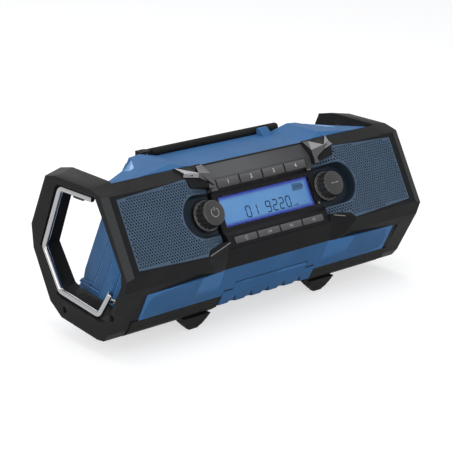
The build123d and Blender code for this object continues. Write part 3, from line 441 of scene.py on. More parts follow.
def make_finishes():
    tone = bpy.context.scene.radio_colours
    blue = tuple(tone.housing)
    # Paler blue and black on faces that look forward and aside are painted highlights.
    blue_bevel_highlight = (shade(blue, 1.3), 0.04, 0.08)
    black_bevel_highlight = ((0.043, 0.044, 0.046), 0.12, 0.20, 0.166)
    return {
        "housing_blue": moulded("housing plastic", blue, 0.46, 0.08, 0.04, blue_bevel_highlight),
        # The cover's blue is painted darker on the right-hand walls of its hollows, a painted shade.
        "cover_blue": moulded("cover plastic", blue, 0.46, 0.08, 0.04, blue_bevel_highlight, shade(blue, 0.22)),
        "frame_black": moulded("frame plastic", tuple(tone.frame), 0.44, specular=0.05, bevel_highlight=black_bevel_highlight),
        "grille_metal": grille_sheet("grille sheet", tuple(tone.grille)),
        "panel_grey": two_tone("panel plastic", tuple(tone.plate), tuple(tone.panel)),
        "key_grey": key_plastic("key plastic", (0.040, 0.040, 0.041)),
        "knob_black": moulded("knob plastic", (0.026, 0.026, 0.026), 0.30, wear=0.6, specular=0.45),
        "rubber_black": rubber("moulded rubber", (0.008, 0.008, 0.008)),
        "keymat_rubber": rubber("key mat rubber", (0.030, 0.030, 0.030)),
        "inner_black": moulded("inner plastic", (0.008, 0.008, 0.009), 0.6),
        "wire_steel": metal("polished wire", (0.42, 0.42, 0.43), 0.16),
        "screw_steel": metal("blackened screw", (0.045, 0.045, 0.047), 0.35),
        "terminal_brass": metal("terminal brass", (0.75, 0.55, 0.25), 0.3),
        "lens_clear": clear("display lens", (0.9, 0.95, 1.0)),
        "lcd_blue": lit_display("display glass", tuple(tone.display), tuple(tone.display_border)),
        "light_guide": printed("light guide", (0.75, 0.82, 0.9)),
        "board_green": moulded("circuit board", (0.006, 0.035, 0.016), 0.4),
        "basket_steel": metal("painted basket", (0.06, 0.06, 0.06), 0.45),
        "cone_paper": rubber("speaker cone", (0.05, 0.05, 0.05), 0.9),
        "magnet_iron": metal("magnet iron", (0.16, 0.16, 0.16), 0.5),
        # Satin metal caps and arms on the claws are painted reflections, the arms a dimmer copy.
        "claw": metal("claw cap painted reflection", (0.235, 0.235, 0.245), 0.20),
        "claw_arm": metal("claw arm dim painted reflection", (0.105, 0.105, 0.110), 0.24),
        # Bright rings on the knobs and bright lines below the claws are painted highlights.
        "rim": metal("knob rim painted highlight", (0.21, 0.21, 0.22), 0.3),
        # Pale and dark blue strips along the ribs are painted highlight and painted shadow.
        "rib_highlight": moulded("rib painted highlight", shade(blue, 1.45), 0.42, specular=0.08),
        "rib_shade": moulded("rib painted shadow", shade(blue, 0.48), 0.6, specular=0.05),
        # The paler blue of the facets by the shoulders is a painted highlight.
        "facet": moulded("facet painted highlight", (0.145, 0.300, 0.560), 0.30, specular=0.20),
        "white_ink": printed("white print", (0.62, 0.62, 0.60)),
        "grey_ink": printed("grey print", (0.30, 0.30, 0.29)),
        "display_ink": printed("display segments", (0.004, 0.014, 0.026), 0.6),
    }


FINISHES = {}


def finish(name):
    if not FINISHES:
        FINISHES.update(make_finishes())
    return FINISHES[name]


# ---------------------------------------------------------------- pieces
DRESSED = set()


def node_slot(name):
    for part in frame["record"]["subparts"]:
        if part["node"] == name:
            return part["material_slot"]
    raise RuntimeError(f"the record has no slot for {name}")


def round_edges(piece, width, segments=2, angle=30.0):
    bevel = piece.modifiers.new("edges", "BEVEL")
    bevel.width = width
    bevel.segments = segments
    bevel.limit_method = "ANGLE"
    bevel.angle_limit = radians(angle)
    bevel.harden_normals = True
    return bevel


def thicken(piece, thickness, offset):
    sheet = piece.modifiers.new("sheet", "SOLIDIFY")
    sheet.thickness = thickness
    sheet.offset = offset


def dress(name, edge=None):
    """Gives a carried-over node its finish and softens its moulded edges."""
    node = nodes[name]
    node.data.materials.clear()
    node.data.materials.append(finish(node_slot(name)))
    DRESSED.add(name)
    if edge:
        weld = node.modifiers.new("weld", "WELD")
        weld.merge_threshold = 0.00001
        flat = node.modifiers.new("flat", "DECIMATE")
        flat.decimate_type = "DISSOLVE"
        flat.angle_limit = radians(0.6)
        round_edges(node, edge, 3, 24.0).miter_outer = "MITER_ARC"
    return node


def replace(piece, name):
    """Dresses a CAD node and hides it; the piece argument is not used."""
    dress(name)
    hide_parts(name)


def mesh_from(name, bm):
    mesh = bpy.data.meshes.new(name)
    bm.to_mesh(mesh)
    bm.free()
    return mesh


def add_piece(mesh, looks, body="housing"):
    """Turns a mesh, in metres, into a piece of the same name that rides on a body."""
    for look in looks:
        mesh.materials.append(finish(look))
    piece = bpy.data.objects.new(mesh.name, mesh)
    bpy.context.scene.collection.objects.link(piece)
    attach(piece, body)
    return piece


def piece_from(name, bm, look, body="housing", smooth=None):
    """Turns a closed bmesh into a piece that rides on a body."""
    bmesh.ops.recalc_face_normals(bm, faces=bm.faces)
    mesh = mesh_from(name, bm)
    if smooth is not None:
        mesh.shade_smooth()
        mesh.set_sharp_from_angle(angle=radians(smooth))
    return add_piece(mesh, [look], body)


def face_along(bm, way):
    """Turns the faces of an open sheet so that they look along way."""
    bmesh.ops.recalc_face_normals(bm, faces=bm.faces)
    if sum(face.normal.dot(way) for face in bm.faces) < 0:
        bmesh.ops.reverse_faces(bm, faces=bm.faces)


def rings_to_mesh(bm, rings, closed=True):
    """Skins rows of points; the ends are closed where asked."""
    rows = [[bm.verts.new(point) for point in ring] for ring in rings]
    for one, two in zip(rows, rows[1:]):
        for i in range(len(one)):
            j = (i + 1) % len(one)
            bm.faces.new((one[i], one[j], two[j], two[i]))
    if closed:
        bm.faces.new(list(reversed(rows[0])))
        bm.faces.new(rows[-1])


def bar_along(bm, outline, start, end):
    """Bar along the radio's length over an outline of (y, z) points."""
    rings_to_mesh(bm, [[place(x, y, z) for y, z in outline] for x in (start, end)])


# ---------------------------------------------------------------- marks
class Marks:
    """Raised print on the front slope, gathered into one mesh."""

    def __init__(self, level, thickness=None):
        self.bm = bmesh.new()
        self.low = level
        self.high = level + (thickness or sizes().mark_depth / MM)

    def plate(self, outline):
        """Plate over an outline of (x, s) points, counter-clockwise seen from the front."""
        rings_to_mesh(self.bm, [[on_front(x, s, h) for x, s in outline] for h in (self.low, self.high)])

    def box(self, x, s, width, height):
        w, t = width / 2, height / 2
        self.plate([(x - w, s - t), (x + w, s - t), (x + w, s + t), (x - w, s + t)])

    def bar(self, start, end, stroke):
        """Bar with pointed ends, as a display segment."""
        start, end = Vector(start), Vector(end)
        along = (end - start).normalized() * stroke / 2
        across = Vector((-along.y, along.x))
        self.plate([start, start + along - across, end - along - across, end, end - along + across,
                    start + along + across])

    def arc(self, x, s, radius, stroke, start, end, steps=20):
        """Band along a circle, from one angle in degrees to another."""
        angles = [radians(start + (end - start) * i / steps) for i in range(steps + 1)]
        outer, inner = ([(x + r * cos(a), s + r * sin(a)) for a in angles]
                        for r in (radius + stroke / 2, radius - stroke / 2))
        self.plate(outer + inner[::-1])

    def triangle(self, x, s, size, side):
        """Triangle that points to the right (side 1) or to the left (side -1)."""
        half = size / 2
        points = [(x - side * half, s - half), (x + side * half, s), (x - side * half, s + half)]
        self.plate(points if side > 0 else points[::-1])

    def piece(self, name, look, slot_name, body="housing"):
        return piece_from(name, self.bm, look, body)


SEGMENTS = {"0": "abcdef", "1": "bc", "2": "abged", "9": "abcdfg"}


def display_digit(marks, digit, x, s, width, height, stroke):
    """Seven-segment digit whose lower left corner is at (x, s)."""
    gap = 0.12
    left, right = x + stroke / 2, x + width - stroke / 2
    low, middle, high = s + stroke / 2, s + height / 2, s + height - stroke / 2
    ends = {
        "a": ((left + gap, high), (right - gap, high)),
        "b": ((right, middle + gap), (right, high - gap)),
        "c": ((right, low + gap), (right, middle - gap)),
        "d": ((left + gap, low), (right - gap, low)),
        "e": ((left, low + gap), (left, middle - gap)),
        "f": ((left, middle + gap), (left, high - gap)),
        "g": ((left + gap, middle), (right - gap, middle)),
    }
    for segment in SEGMENTS[digit]:
        marks.bar(*ends[segment], stroke)


def print_number(number):
    """Number on an upper key, set in the built-in typeface."""
    name = f"preset_number_{number}"
    curve = bpy.data.curves.new(name, "FONT")
    curve.body = str(number)
    curve.size = NUMBER_HEIGHT * MM / CAPITAL_SHARE
    curve.align_x = "CENTER"
    curve.align_y = "CENTER"
    curve.extrude = sizes().mark_depth / 2
    curve.offset = 0.00004
    holder = bpy.data.objects.new("typeface", curve)
    mesh = bpy.data.meshes.new_from_object(holder)
    bpy.data.objects.remove(holder)
    mesh.name = name
    turn = Matrix((ALONG, UPWARD, OUTWARD)).transposed().to_4x4()
    spot = on_front(key_middle(number), PRESET_MIDDLE, KEY_TOP + 0.02) + OUTWARD * sizes().mark_depth / 2
    mesh.transform(Matrix.Translation(spot) @ turn)
    mesh.materials.clear()
    add_piece(mesh, ["white_ink"], f"preset_key_{number}")


# ---------------------------------------------------------------- grille sheet
def stadium_distance(x, s):
    """Distance from the middle line of the long recess round a knob."""
    return hypot(x - clamp(x, DISH_START, DISH_END), s - KNOB_S)


def slope_height(x):
    """Height of the grille surface, which falls towards the control panel."""
    share = clamp((GRILLE_CREASE - x) / (GRILLE_CREASE - GRILLE_ROOT))
    return -GRILLE_RECESS - GRILLE_FALL * share


def grille_height(x, s):
    share = clamp((DISH_RADIUS - stadium_distance(x, s)) / (DISH_RADIUS - DISH_LOW_RADIUS))
    return min(slope_height(x), -DISH_DEPTH * share)


def dish_rim(x):
    """Distance from the recess's middle line at which its wall meets the grille surface at x."""
    return DISH_RADIUS + (DISH_RADIUS - DISH_LOW_RADIUS) * slope_height(x) / DISH_DEPTH


def recess_line(radius_at, steps=26):
    """Open line round the recess, from the upper to the lower side of the panel's end."""
    straight = (66.0, 72.0, 80.0)
    upper = [(x, KNOB_S + radius_at(x)) for x in straight]
    bend = []
    for i in range(steps + 1):
        angle = pi / 2 - pi * i / steps
        radius = radius_at(DISH_END)
        for _ in range(3):
            radius = radius_at(DISH_END + radius * cos(angle))
        bend.append((DISH_END + radius * cos(angle), KNOB_S + radius * sin(angle)))
    lower = [(x, KNOB_S - radius_at(x)) for x in reversed(straight)]
    return upper + bend + lower


def edge_distance(x, s, outline):
    """Distance inside an outline; negative outside it."""
    inside, nearest = False, 1e9
    for (x0, s0), (x1, s1) in zip(outline, outline[1:] + outline[:1]):
        if (s0 > s) != (s1 > s) and x < x0 + (x1 - x0) * (s - s0) / (s1 - s0):
            inside = not inside
        length = hypot(x1 - x0, s1 - s0)
        share = clamp(((x - x0) * (x1 - x0) + (s - s0) * (s1 - s0)) / length ** 2)
        nearest = min(nearest, hypot(x - x0 - share * (x1 - x0), s - s0 - share * (s1 - s0)))
    return nearest if inside else -nearest


class HolePattern:
    """Staggered rows of slanting oval holes."""

    COLUMNS, ROWS = range(20, 60), range(0, 31)
    EDGE_MARGIN, RECESS_MARGIN = 1.9, 1.3

    def __init__(self):
        size = sizes()
        self.pitch, self.row = size.hole_pitch / MM, size.hole_row / MM
        self.half = size.hole_length / MM / 2, size.hole_width / MM / 2
        slant = hypot(self.pitch / 2, self.row)
        self.along = (self.pitch / 2 / slant, -self.row / slant)

    def middle(self, column, row):
        return ((column + 0.5 * (row % 2)) * self.pitch, row * self.row)

    def fits(self, column, row):
        """Says whether a hole stays clear of the sheet's edge and of the recess."""
        mx, ms = self.middle(column, row)
        clear_of_edge = edge_distance(abs(mx), ms, GRILLE_OUTLINE) > self.EDGE_MARGIN
        return clear_of_edge and stadium_distance(abs(mx), ms) > dish_rim(abs(mx)) + self.RECESS_MARGIN

    def nearest(self, x, s):
        row = round(s / self.row)
        best = None
        for r in (row - 1, row, row + 1):
            column = round(x / self.pitch - 0.5 * (r % 2))
            mx, ms = self.middle(column, r)
            away = hypot(mx - x, ms - s)
            if best is None or away < best[0]:
                best = (away, column, r)
        return best[1:]

    def reach(self, x, s, column, row):
        """Distance from a hole's middle, where 1 is its edge."""
        mx, ms = self.middle(column, row)
        dx, ds = x - mx, s - ms
        length = dx * self.along[0] + ds * self.along[1]
        width = -dx * self.along[1] + ds * self.along[0]
        return hypot(length / self.half[0], width / self.half[1])

    def rim(self, column, row, corners=8):
        mx, ms = self.middle(column, row)
        points = []
        for i in range(corners):
            angle = 2 * pi * i / corners
            length, width = self.half[0] * cos(angle), self.half[1] * sin(angle)
            points.append((mx + length * self.along[0] - width * self.along[1],
                           ms + length * self.along[1] + width * self.along[0]))
        return points


def make_grille(name, side):
    """Perforated sheet that follows the slope, the crease and the recess."""
    pattern = HolePattern()
    points, edges = [], []

    def add_line(line, closed):
        first = len(points)
        points.extend(line)
        edges.extend((first + i, first + i + 1) for i in range(len(line) - 1))
        if closed:
            edges.append((len(points) - 1, first))

    turns = [2 * pi * i / 48 for i in range(48)]
    knob_hole = [(KNOB_X + DISH_FLOOR * cos(turn), KNOB_S + DISH_FLOOR * sin(turn)) for turn in turns]
    crease = [(GRILLE_CREASE, -2.0), (GRILLE_CREASE, 80.0)]
    for line, closed in ((GRILLE_OUTLINE, True), (crease, False), (recess_line(dish_rim), False),
                         (recess_line(lambda x: DISH_LOW_RADIUS), False), (knob_hole, True)):
        add_line(mirrored(line, side), closed)
    holes = [(side * column, row) for row in pattern.ROWS for column in pattern.COLUMNS
             if pattern.fits(side * column, row)]
    for hole in holes:
        add_line(pattern.rim(*hole), True)
    known = set(holes)
    flat = [Vector(point) for point in points]
    corners, _, faces, *_ = delaunay_2d_cdt(flat, edges, [], 0, 1e-5)
    bm = bmesh.new()
    verts = [bm.verts.new(on_front(x, s, grille_height(abs(x), s))) for x, s in corners]
    for face in faces:
        x = sum(corners[i][0] for i in face) / 3
        s = sum(corners[i][1] for i in face) / 3
        hole = pattern.nearest(x, s)
        outside = edge_distance(abs(x), s, GRILLE_OUTLINE) < 0
        in_knob_hole = hypot(abs(x) - KNOB_X, s - KNOB_S) < DISH_FLOOR - 0.02
        in_hole = hole in known and pattern.reach(x, s, *hole) < 0.9
        if not (outside or in_knob_hole or in_hole):
            bm.faces.new([verts[i] for i in face])
    bmesh.ops.delete(bm, geom=[v for v in bm.verts if not v.link_faces], context="VERTS")
    face_along(bm, OUTWARD)
    piece = add_piece(mesh_from(name, bm), ["grille_metal"])
    thicken(piece, sizes().sheet, -1.0)
    return piece


# ---------------------------------------------------------------- turned and bent forms
# Half profile of a knob, as (radius, height, depth of the flutes), from the middle of the face
# to the rim of the skirt and back in under it.
KNOB_PROFILE = [
    (1.0, KNOB_TOP - 0.06, 0), (3.5, KNOB_TOP - 0.13, 0), (6.0, KNOB_TOP - 0.33, 0),
    (8.3, KNOB_TOP - 0.62, 0), (10.2, KNOB_TOP - 0.95, 0), (11.3, KNOB_TOP - 1.15, 0),
    (11.9, KNOB_TOP - 1.5, 0), (12.2, KNOB_TOP - 1.9, 0.10), (12.45, KNOB_TOP - 2.4, 0.55),
    (12.7, KNOB_TOP - 3.2, 1.15), (13.0, KNOB_TOP - 6.0, 1.35),
    (13.3, KNOB_BOTTOM + 3.2, 1.35), (13.35, KNOB_BOTTOM + 2.6, 1.1), (13.6, KNOB_BOTTOM + 2.1, 0),
    (14.55, KNOB_BOTTOM + 1.9, 0), (14.75, KNOB_BOTTOM + 1.5, 0), (14.75, KNOB_BOTTOM + 0.4, 0),
    (14.5, KNOB_BOTTOM + 0.05, 0), (11.9, KNOB_BOTTOM + 0.05, 0), (11.7, 0.3, 0), (3.4, 0.4, 0)]
# The thin bright ring on each knob's skirt is a painted highlight.
RIM_RADIUS, RIM_LEVEL, RIM_SIZE = 14.52, KNOB_BOTTOM + 1.78, 0.26


def front_ring(x, radius, h, groove, count, steps):
    """Ring round a knob's axis, with grooves cut into its radius."""
    ring = []
    for i in range(steps):
        turn = 2 * pi * i / steps
        wave = 0.5 + 0.5 * cos(count * turn)
        r = radius - groove * wave ** 0.7
        ring.append(on_front(x + r * cos(turn), KNOB_S + r * sin(turn), h))
    return ring


def make_knob(name, x, body, node):
    """Fluted knob with a domed face and a thin skirt."""
    count = sizes().flutes
    bm = bmesh.new()
    rings_to_mesh(bm, [front_ring(x, r, h, groove, count, count * 10) for r, h, groove in KNOB_PROFILE])
    replace(piece_from(name, bm, "knob_black", body, smooth=32), node)


def make_rim(name, x, body, sides=8):
    """Thin bright line round the upper edge of a knob's skirt, a painted highlight."""
    rings = []
    for i in range(sides + 1):
        angle = 2 * pi * i / sides
        radius, level = RIM_RADIUS + RIM_SIZE * cos(angle), RIM_LEVEL + RIM_SIZE * sin(angle)
        rings.append(front_ring(x, radius, level, 0, 1, 72))
    bm = bmesh.new()
    rings_to_mesh(bm, rings, closed=False)
    bmesh.ops.remove_doubles(bm, verts=bm.verts, dist=0.00001)
    piece_from(name, bm, "rim", body, smooth=60)


def rounded_path(points, radius, steps=8):
    """Points along straight runs joined by arcs of one radius, in a plane."""
    points = [Vector(point) for point in points]
    path = [(points[0], (points[1] - points[0]).normalized())]
    for before, corner, after in zip(points, points[1:], points[2:]):
        enter, leave = (corner - before).normalized(), (after - corner).normalized()
        turn = enter.angle(leave)
        reach = radius * (1 - cos(turn)) / sin(turn)
        side = (leave - enter * enter.dot(leave)).normalized()
        centre = corner - enter * reach + side * radius
        for i in range(steps + 1):
            angle = turn * i / steps
            spot = centre + (enter * sin(angle) - side * cos(angle)) * radius
            path.append((spot, enter * cos(angle) + side * sin(angle)))
    path.append((points[-1], (points[-1] - points[-2]).normalized()))
    return path


def make_wire(name, sides=20, soft=0.7):
    """Bent round wire of the hanging hook, with softened ends."""
    path = rounded_path(HOOK_PATH, HOOK_BEND)
    (first, ahead), (last, onward) = path[0], path[-1]
    stations = [(first, ahead, WIRE_RADIUS - soft), (first + ahead * soft, ahead, WIRE_RADIUS)]
    stations += [(spot, way, WIRE_RADIUS) for spot, way in path[1:-1]]
    stations += [(last - onward * soft, onward, WIRE_RADIUS), (last, onward, WIRE_RADIUS - soft)]
    turns = [2 * pi * i / sides for i in range(sides)]
    rings = []
    for spot, way, r in stations:
        up = Vector((0, -way.y, way.x))
        middle = Vector((HOOK_X, spot.x, spot.y))
        rings.append([(middle + (ALONG * cos(turn) + up * sin(turn)) * r) * MM for turn in turns])
    bm = bmesh.new()
    rings_to_mesh(bm, rings)
    return piece_from(name, bm, "wire_steel", "hanging_hook", smooth=40)


# ---------------------------------------------------------------- operators
class RADIO_OT_stage(bpy.types.Operator):
    """Adds the floor, the light and the camera"""

    bl_idname = "radio.stage"
    bl_label = "Stage"

    # each lamp's name, place, width and power
    LAMPS = (("overhead", (-0.20, -0.30, 1.62), 0.90, 6.2), ("kicker", (0.56, 0.52, 1.44), 0.55, 2.6),
             ("left", (-1.9, -0.3, 0.9), 1.1, 12.0), ("front", (-0.8, -2.3, 0.8), 1.6, 17.0),
             ("back", (0.5, 1.9, 1.6), 1.4, 6.0))
    LAMP_AIM = Vector((0, 0, 0.08))
    FLOOR_COLOUR, FLOOR_GLOW = (0.50, 0.50, 0.50, 1), 0.62
    WORLD_LIGHT, WORLD_SEEN = (0.50, 0.51, 0.53), (1, 1, 1)
    LENS, SENSOR = 119.47, 36.0
    CAMERA_SPOT = Vector((-0.93297, -1.07146, 0.52609))
    CAMERA_RIGHT = Vector((0.75741138, -0.65293798, 0.0))
    CAMERA_UP = Vector((0.19669061, 0.2281621, 0.95354856))

    def execute(self, context):
        scene = context.scene
        scene.view_settings.view_transform = "Standard"
        bm = bmesh.new()
        bmesh.ops.create_grid(bm, x_segments=2, y_segments=2, size=30.0)
        floor = bpy.data.objects.new("floor", mesh_from("floor", bm))
        floor.location.z = -0.0002
        floor.data.materials.append(self.floor_material())
        scene.collection.objects.link(floor)
        self.world(scene)
        for lamp in self.LAMPS:
            self.lamp(scene, *lamp)
        self.camera(scene)
        return {"FINISHED"}

    def camera(self, scene):
        camera = bpy.data.objects.new("camera", bpy.data.cameras.new("camera"))
        camera.data.lens = self.LENS
        camera.data.sensor_width = self.SENSOR
        camera.data.clip_end = 100.0
        back = self.CAMERA_RIGHT.cross(self.CAMERA_UP)
        turn = Matrix((self.CAMERA_RIGHT, self.CAMERA_UP, back)).transposed()
        camera.matrix_world = Matrix.LocRotScale(self.CAMERA_SPOT, turn.to_quaternion(), None)
        scene.collection.objects.link(camera)
        scene.camera = camera

    def floor_material(self):
        material = bpy.data.materials.new("pale floor")
        material.use_nodes = True
        material.node_tree.nodes.clear()
        tree = Nodes(material.node_tree)
        kinds = ("BsdfDiffuse", "Emission", "AddShader", "OutputMaterial")
        diffuse, glow, both, out = (tree.add(f"ShaderNode{kind}") for kind in kinds)
        diffuse.inputs["Color"].default_value = self.FLOOR_COLOUR
        tree.link(tree.math("MULTIPLY", tree.seen(), self.FLOOR_GLOW), glow.inputs["Strength"])
        tree.link(diffuse.outputs[0], both.inputs[0])
        tree.link(glow.outputs[0], both.inputs[1])
        tree.link(both.outputs[0], out.inputs["Surface"])
        return material

    def world(self, scene):
        world = bpy.data.worlds.new("studio")
        world.use_nodes = True
        tree = Nodes(world.node_tree)
        colour = tree.mix(tree.seen(), self.WORLD_LIGHT, self.WORLD_SEEN)
        tree.link(colour, world.node_tree.nodes["Background"].inputs["Color"])
        scene.world = world

    def lamp(self, scene, name, spot, size, power):
        lamp = bpy.data.lights.new(name, "AREA")
        lamp.size = size
        lamp.energy = power
        body = bpy.data.objects.new(name, lamp)
        body.location = spot
        body.rotation_euler = (self.LAMP_AIM - Vector(spot)).to_track_quat("-Z", "Y").to_euler()
        scene.collection.objects.link(body)


class RADIO_OT_shell(bpy.types.Operator):
    """Finishes the housing and the bezel"""

    bl_idname = "radio.shell"
    bl_label = "Housing and bezel"

    def execute(self, context):
        for name in ("rear_housing", "front_housing", "front_bezel"):
            dress(name, sizes().edge)
        dress("housing_screws")
        return {"FINISHED"}


class RADIO_OT_end_walls(bpy.types.Operator):
    """Adds pale and dark strips along the ribs of the slanted end walls, painted highlights and painted
    shadows, and closes their front corners
    """

    bl_idname = "radio.end_walls"
    bl_label = "End walls"

    # the wall's plane: x at y = z = 0 and how fast it falls, and the way the wall looks
    WALL_X, WALL_FALL_Y, WALL_FALL_Z = 178.6, 0.3466, 0.4017
    NORMAL = (0.8834, 0.3062, 0.3549)
    # lines on the wall, as two (y, z) points, how many steps they stand out, and the width of the dark
    # strip of painted shadow and of the pale strip of painted highlight
    STEP = 1.4
    LINES = [((14.0, 101.0), (24.9, 41.0), 1, 2.2, 1.1), ((-8.6, 86.0), (-0.3, 41.0), 2, 2.2, 1.1),
             ((26.5, 44.5), (50.0, 41.5), 0, 0.8, 0.8), ((-0.6, 45.2), (56.0, 38.0), 2.3, 0.8, 0.8)]
    LAP, SINK, GROOVE_TOP, BEAD_TOP = 0.2, 0.3, 0.14, 0.22
    # the cheek that closes the front corner, and pale and dark strips, painted highlight and painted shadow,
    # along the rib on the collar beside it
    CHEEK = [(-24.2, 64.6), (-60.5, 64.6), (-60.5, 61.5), (-47.5, 36.5), (-24.2, 36.5)]
    CHEEK_IN, CHEEK_OUT = 165.8, 167.2
    COLLAR_RIB = [(-37.0, 75.0), (-24.6, 49.8)]
    COLLAR_ROOT, COLLAR_GROOVE_TOP, COLLAR_RIB_TOP = 166.8, 167.45, 167.5
    # paler facets by the shoulder, a painted highlight
    FACET = [(111.5, 18.0, 160.6), (124.2, -3.3, 159.4), (132.4, -6.5, 158.6)]
    FACET_BESIDE = [(112.2, 17.6, 160.5), (132.4, -6.5, 158.6), (135.4, -2.6, 158.3)]
    FACET_LEVELS = (-0.3, 0.22)

    def execute(self, context):
        for side, name in SIDES:
            self.ribs(side, name)
            cheek = bmesh.new()
            bar_along(cheek, self.CHEEK, side * self.CHEEK_IN, side * self.CHEEK_OUT)
            round_edges(piece_from(f"{name}_cheek", cheek, "housing_blue"), 0.0003)
            self.collar(side, name)
            self.facets(side, name)
        return {"FINISHED"}

    def on_wall(self, side, y, z, lift):
        nx, ny, nz = self.NORMAL
        x = self.WALL_X - self.WALL_FALL_Y * y - self.WALL_FALL_Z * z
        return place(side * (x + nx * lift), y + ny * lift, z + nz * lift)

    def strip(self, bm, side, start, end, shift, width, low, high):
        """Strip along the wall, shifted forward from the line and standing from low to high."""
        (y0, z0), (y1, z1) = start, end
        length = hypot(y1 - y0, z1 - z0)
        ay, az = (z1 - z0) / length, -(y1 - y0) / length
        rings = []
        for y, z in (start, end):
            near, far = (y + ay * shift, z + az * shift), (y + ay * (shift + width), z + az * (shift + width))
            rings.append([self.on_wall(side, *near, low), self.on_wall(side, *far, low),
                          self.on_wall(side, *far, high), self.on_wall(side, *near, high)])
        rings_to_mesh(bm, rings)

    def ribs(self, side, name):
        """Pale strips of painted highlight and dark strips of painted shadow along the ribs and the bands
        below them.
        """
        highlight_strips, groove = bmesh.new(), bmesh.new()
        for start, end, level, dark, light in self.LINES:
            top = level * self.STEP
            low = top - self.SINK
            self.strip(groove, side, start, end, self.LAP - dark, dark, low, top + self.GROOVE_TOP)
            self.strip(highlight_strips, side, start, end, self.LAP, light, low, top + self.BEAD_TOP)
        piece_from(f"{name}_rib_highlights", highlight_strips, "rib_highlight")
        piece_from(f"{name}_rib_shadows", groove, "rib_shade")

    def collar(self, side, name):
        """Pale strip of painted highlight along a slanting rib on the collar, with a dark strip of painted
        shadow beside it.
        """
        for suffix, look, shift, width, out in (
                ("rib", "rib_highlight", 0.1, 1.0, self.COLLAR_RIB_TOP),
                ("groove", "rib_shade", -1.5, 1.6, self.COLLAR_GROOVE_TOP)):
            outline = [(y - shift, z) for y, z in self.COLLAR_RIB]
            outline += [(y - shift - width, z) for y, z in reversed(self.COLLAR_RIB)]
            bm = bmesh.new()
            bar_along(bm, outline, side * self.COLLAR_ROOT, side * out)
            piece_from(f"{name}_collar_{suffix}", bm, look)

    def facets(self, side, name):
        """Two small facets where the shoulder meets the end wall, polished and painted paler as a highlight.
        """
        for suffix, look, outline in (
                ("bright", "facet", self.FACET), ("dim", "rib_highlight", self.FACET_BESIDE)):
            bm = bmesh.new()
            rings_to_mesh(bm, [[place(side * x, y, z + lift) for x, y, z in outline]
                               for lift in self.FACET_LEVELS])
            piece_from(f"{name}_facet_{suffix}", bm, look)


class RADIO_OT_frames(bpy.types.Operator):
    """Finishes the end frames and adds the grip ribs on their sills"""

    bl_idname = "radio.frames"
    bl_label = "End frames"

    SILL_START, SILL_END = (-31.5, 33.4), (26.0, 39.2)
    SILL_RISE, SILL_DEPTH = 6.0, 22.5
    RIBS, FIRST_RIB, RIB_PITCH = 6, 8.6, 2.0
    RIB_FOOT, RIB_HALF, RIB_TOP_HALF = 0.6, 0.5, 0.3
    # how far a rib stands out along its length, as (y, height)
    RIB_LINE = ((-20.0, -0.3), (-19.0, 0.6), (17.0, 0.6), (18.0, -0.3))

    def sill(self, x, y):
        """Height of the sill of the hand opening."""
        (y0, z0), (y1, z1) = self.SILL_START, self.SILL_END
        return z0 + (z1 - z0) * (y - y0) / (y1 - y0) + self.SILL_RISE * (HALF_LENGTH - x) / self.SILL_DEPTH

    def execute(self, context):
        dress("frame_screws")
        for side, name in SIDES:
            dress(f"{name}_end_frame", sizes().edge)
            bm = bmesh.new()
            for i in range(self.RIBS):
                x = HALF_LENGTH - self.FIRST_RIB - self.RIB_PITCH * i
                rings = []
                for y, lift in self.RIB_LINE:
                    z = self.sill(x, y)
                    corners = [(self.RIB_HALF, -self.RIB_FOOT), (-self.RIB_HALF, -self.RIB_FOOT),
                               (-self.RIB_TOP_HALF, lift), (self.RIB_TOP_HALF, lift)]
                    rings.append([place(side * (x + dx), y, z + dz) for dx, dz in corners])
                rings_to_mesh(bm, rings)
            piece_from(f"{name}_frame_grip", bm, "frame_black")
        return {"FINISHED"}


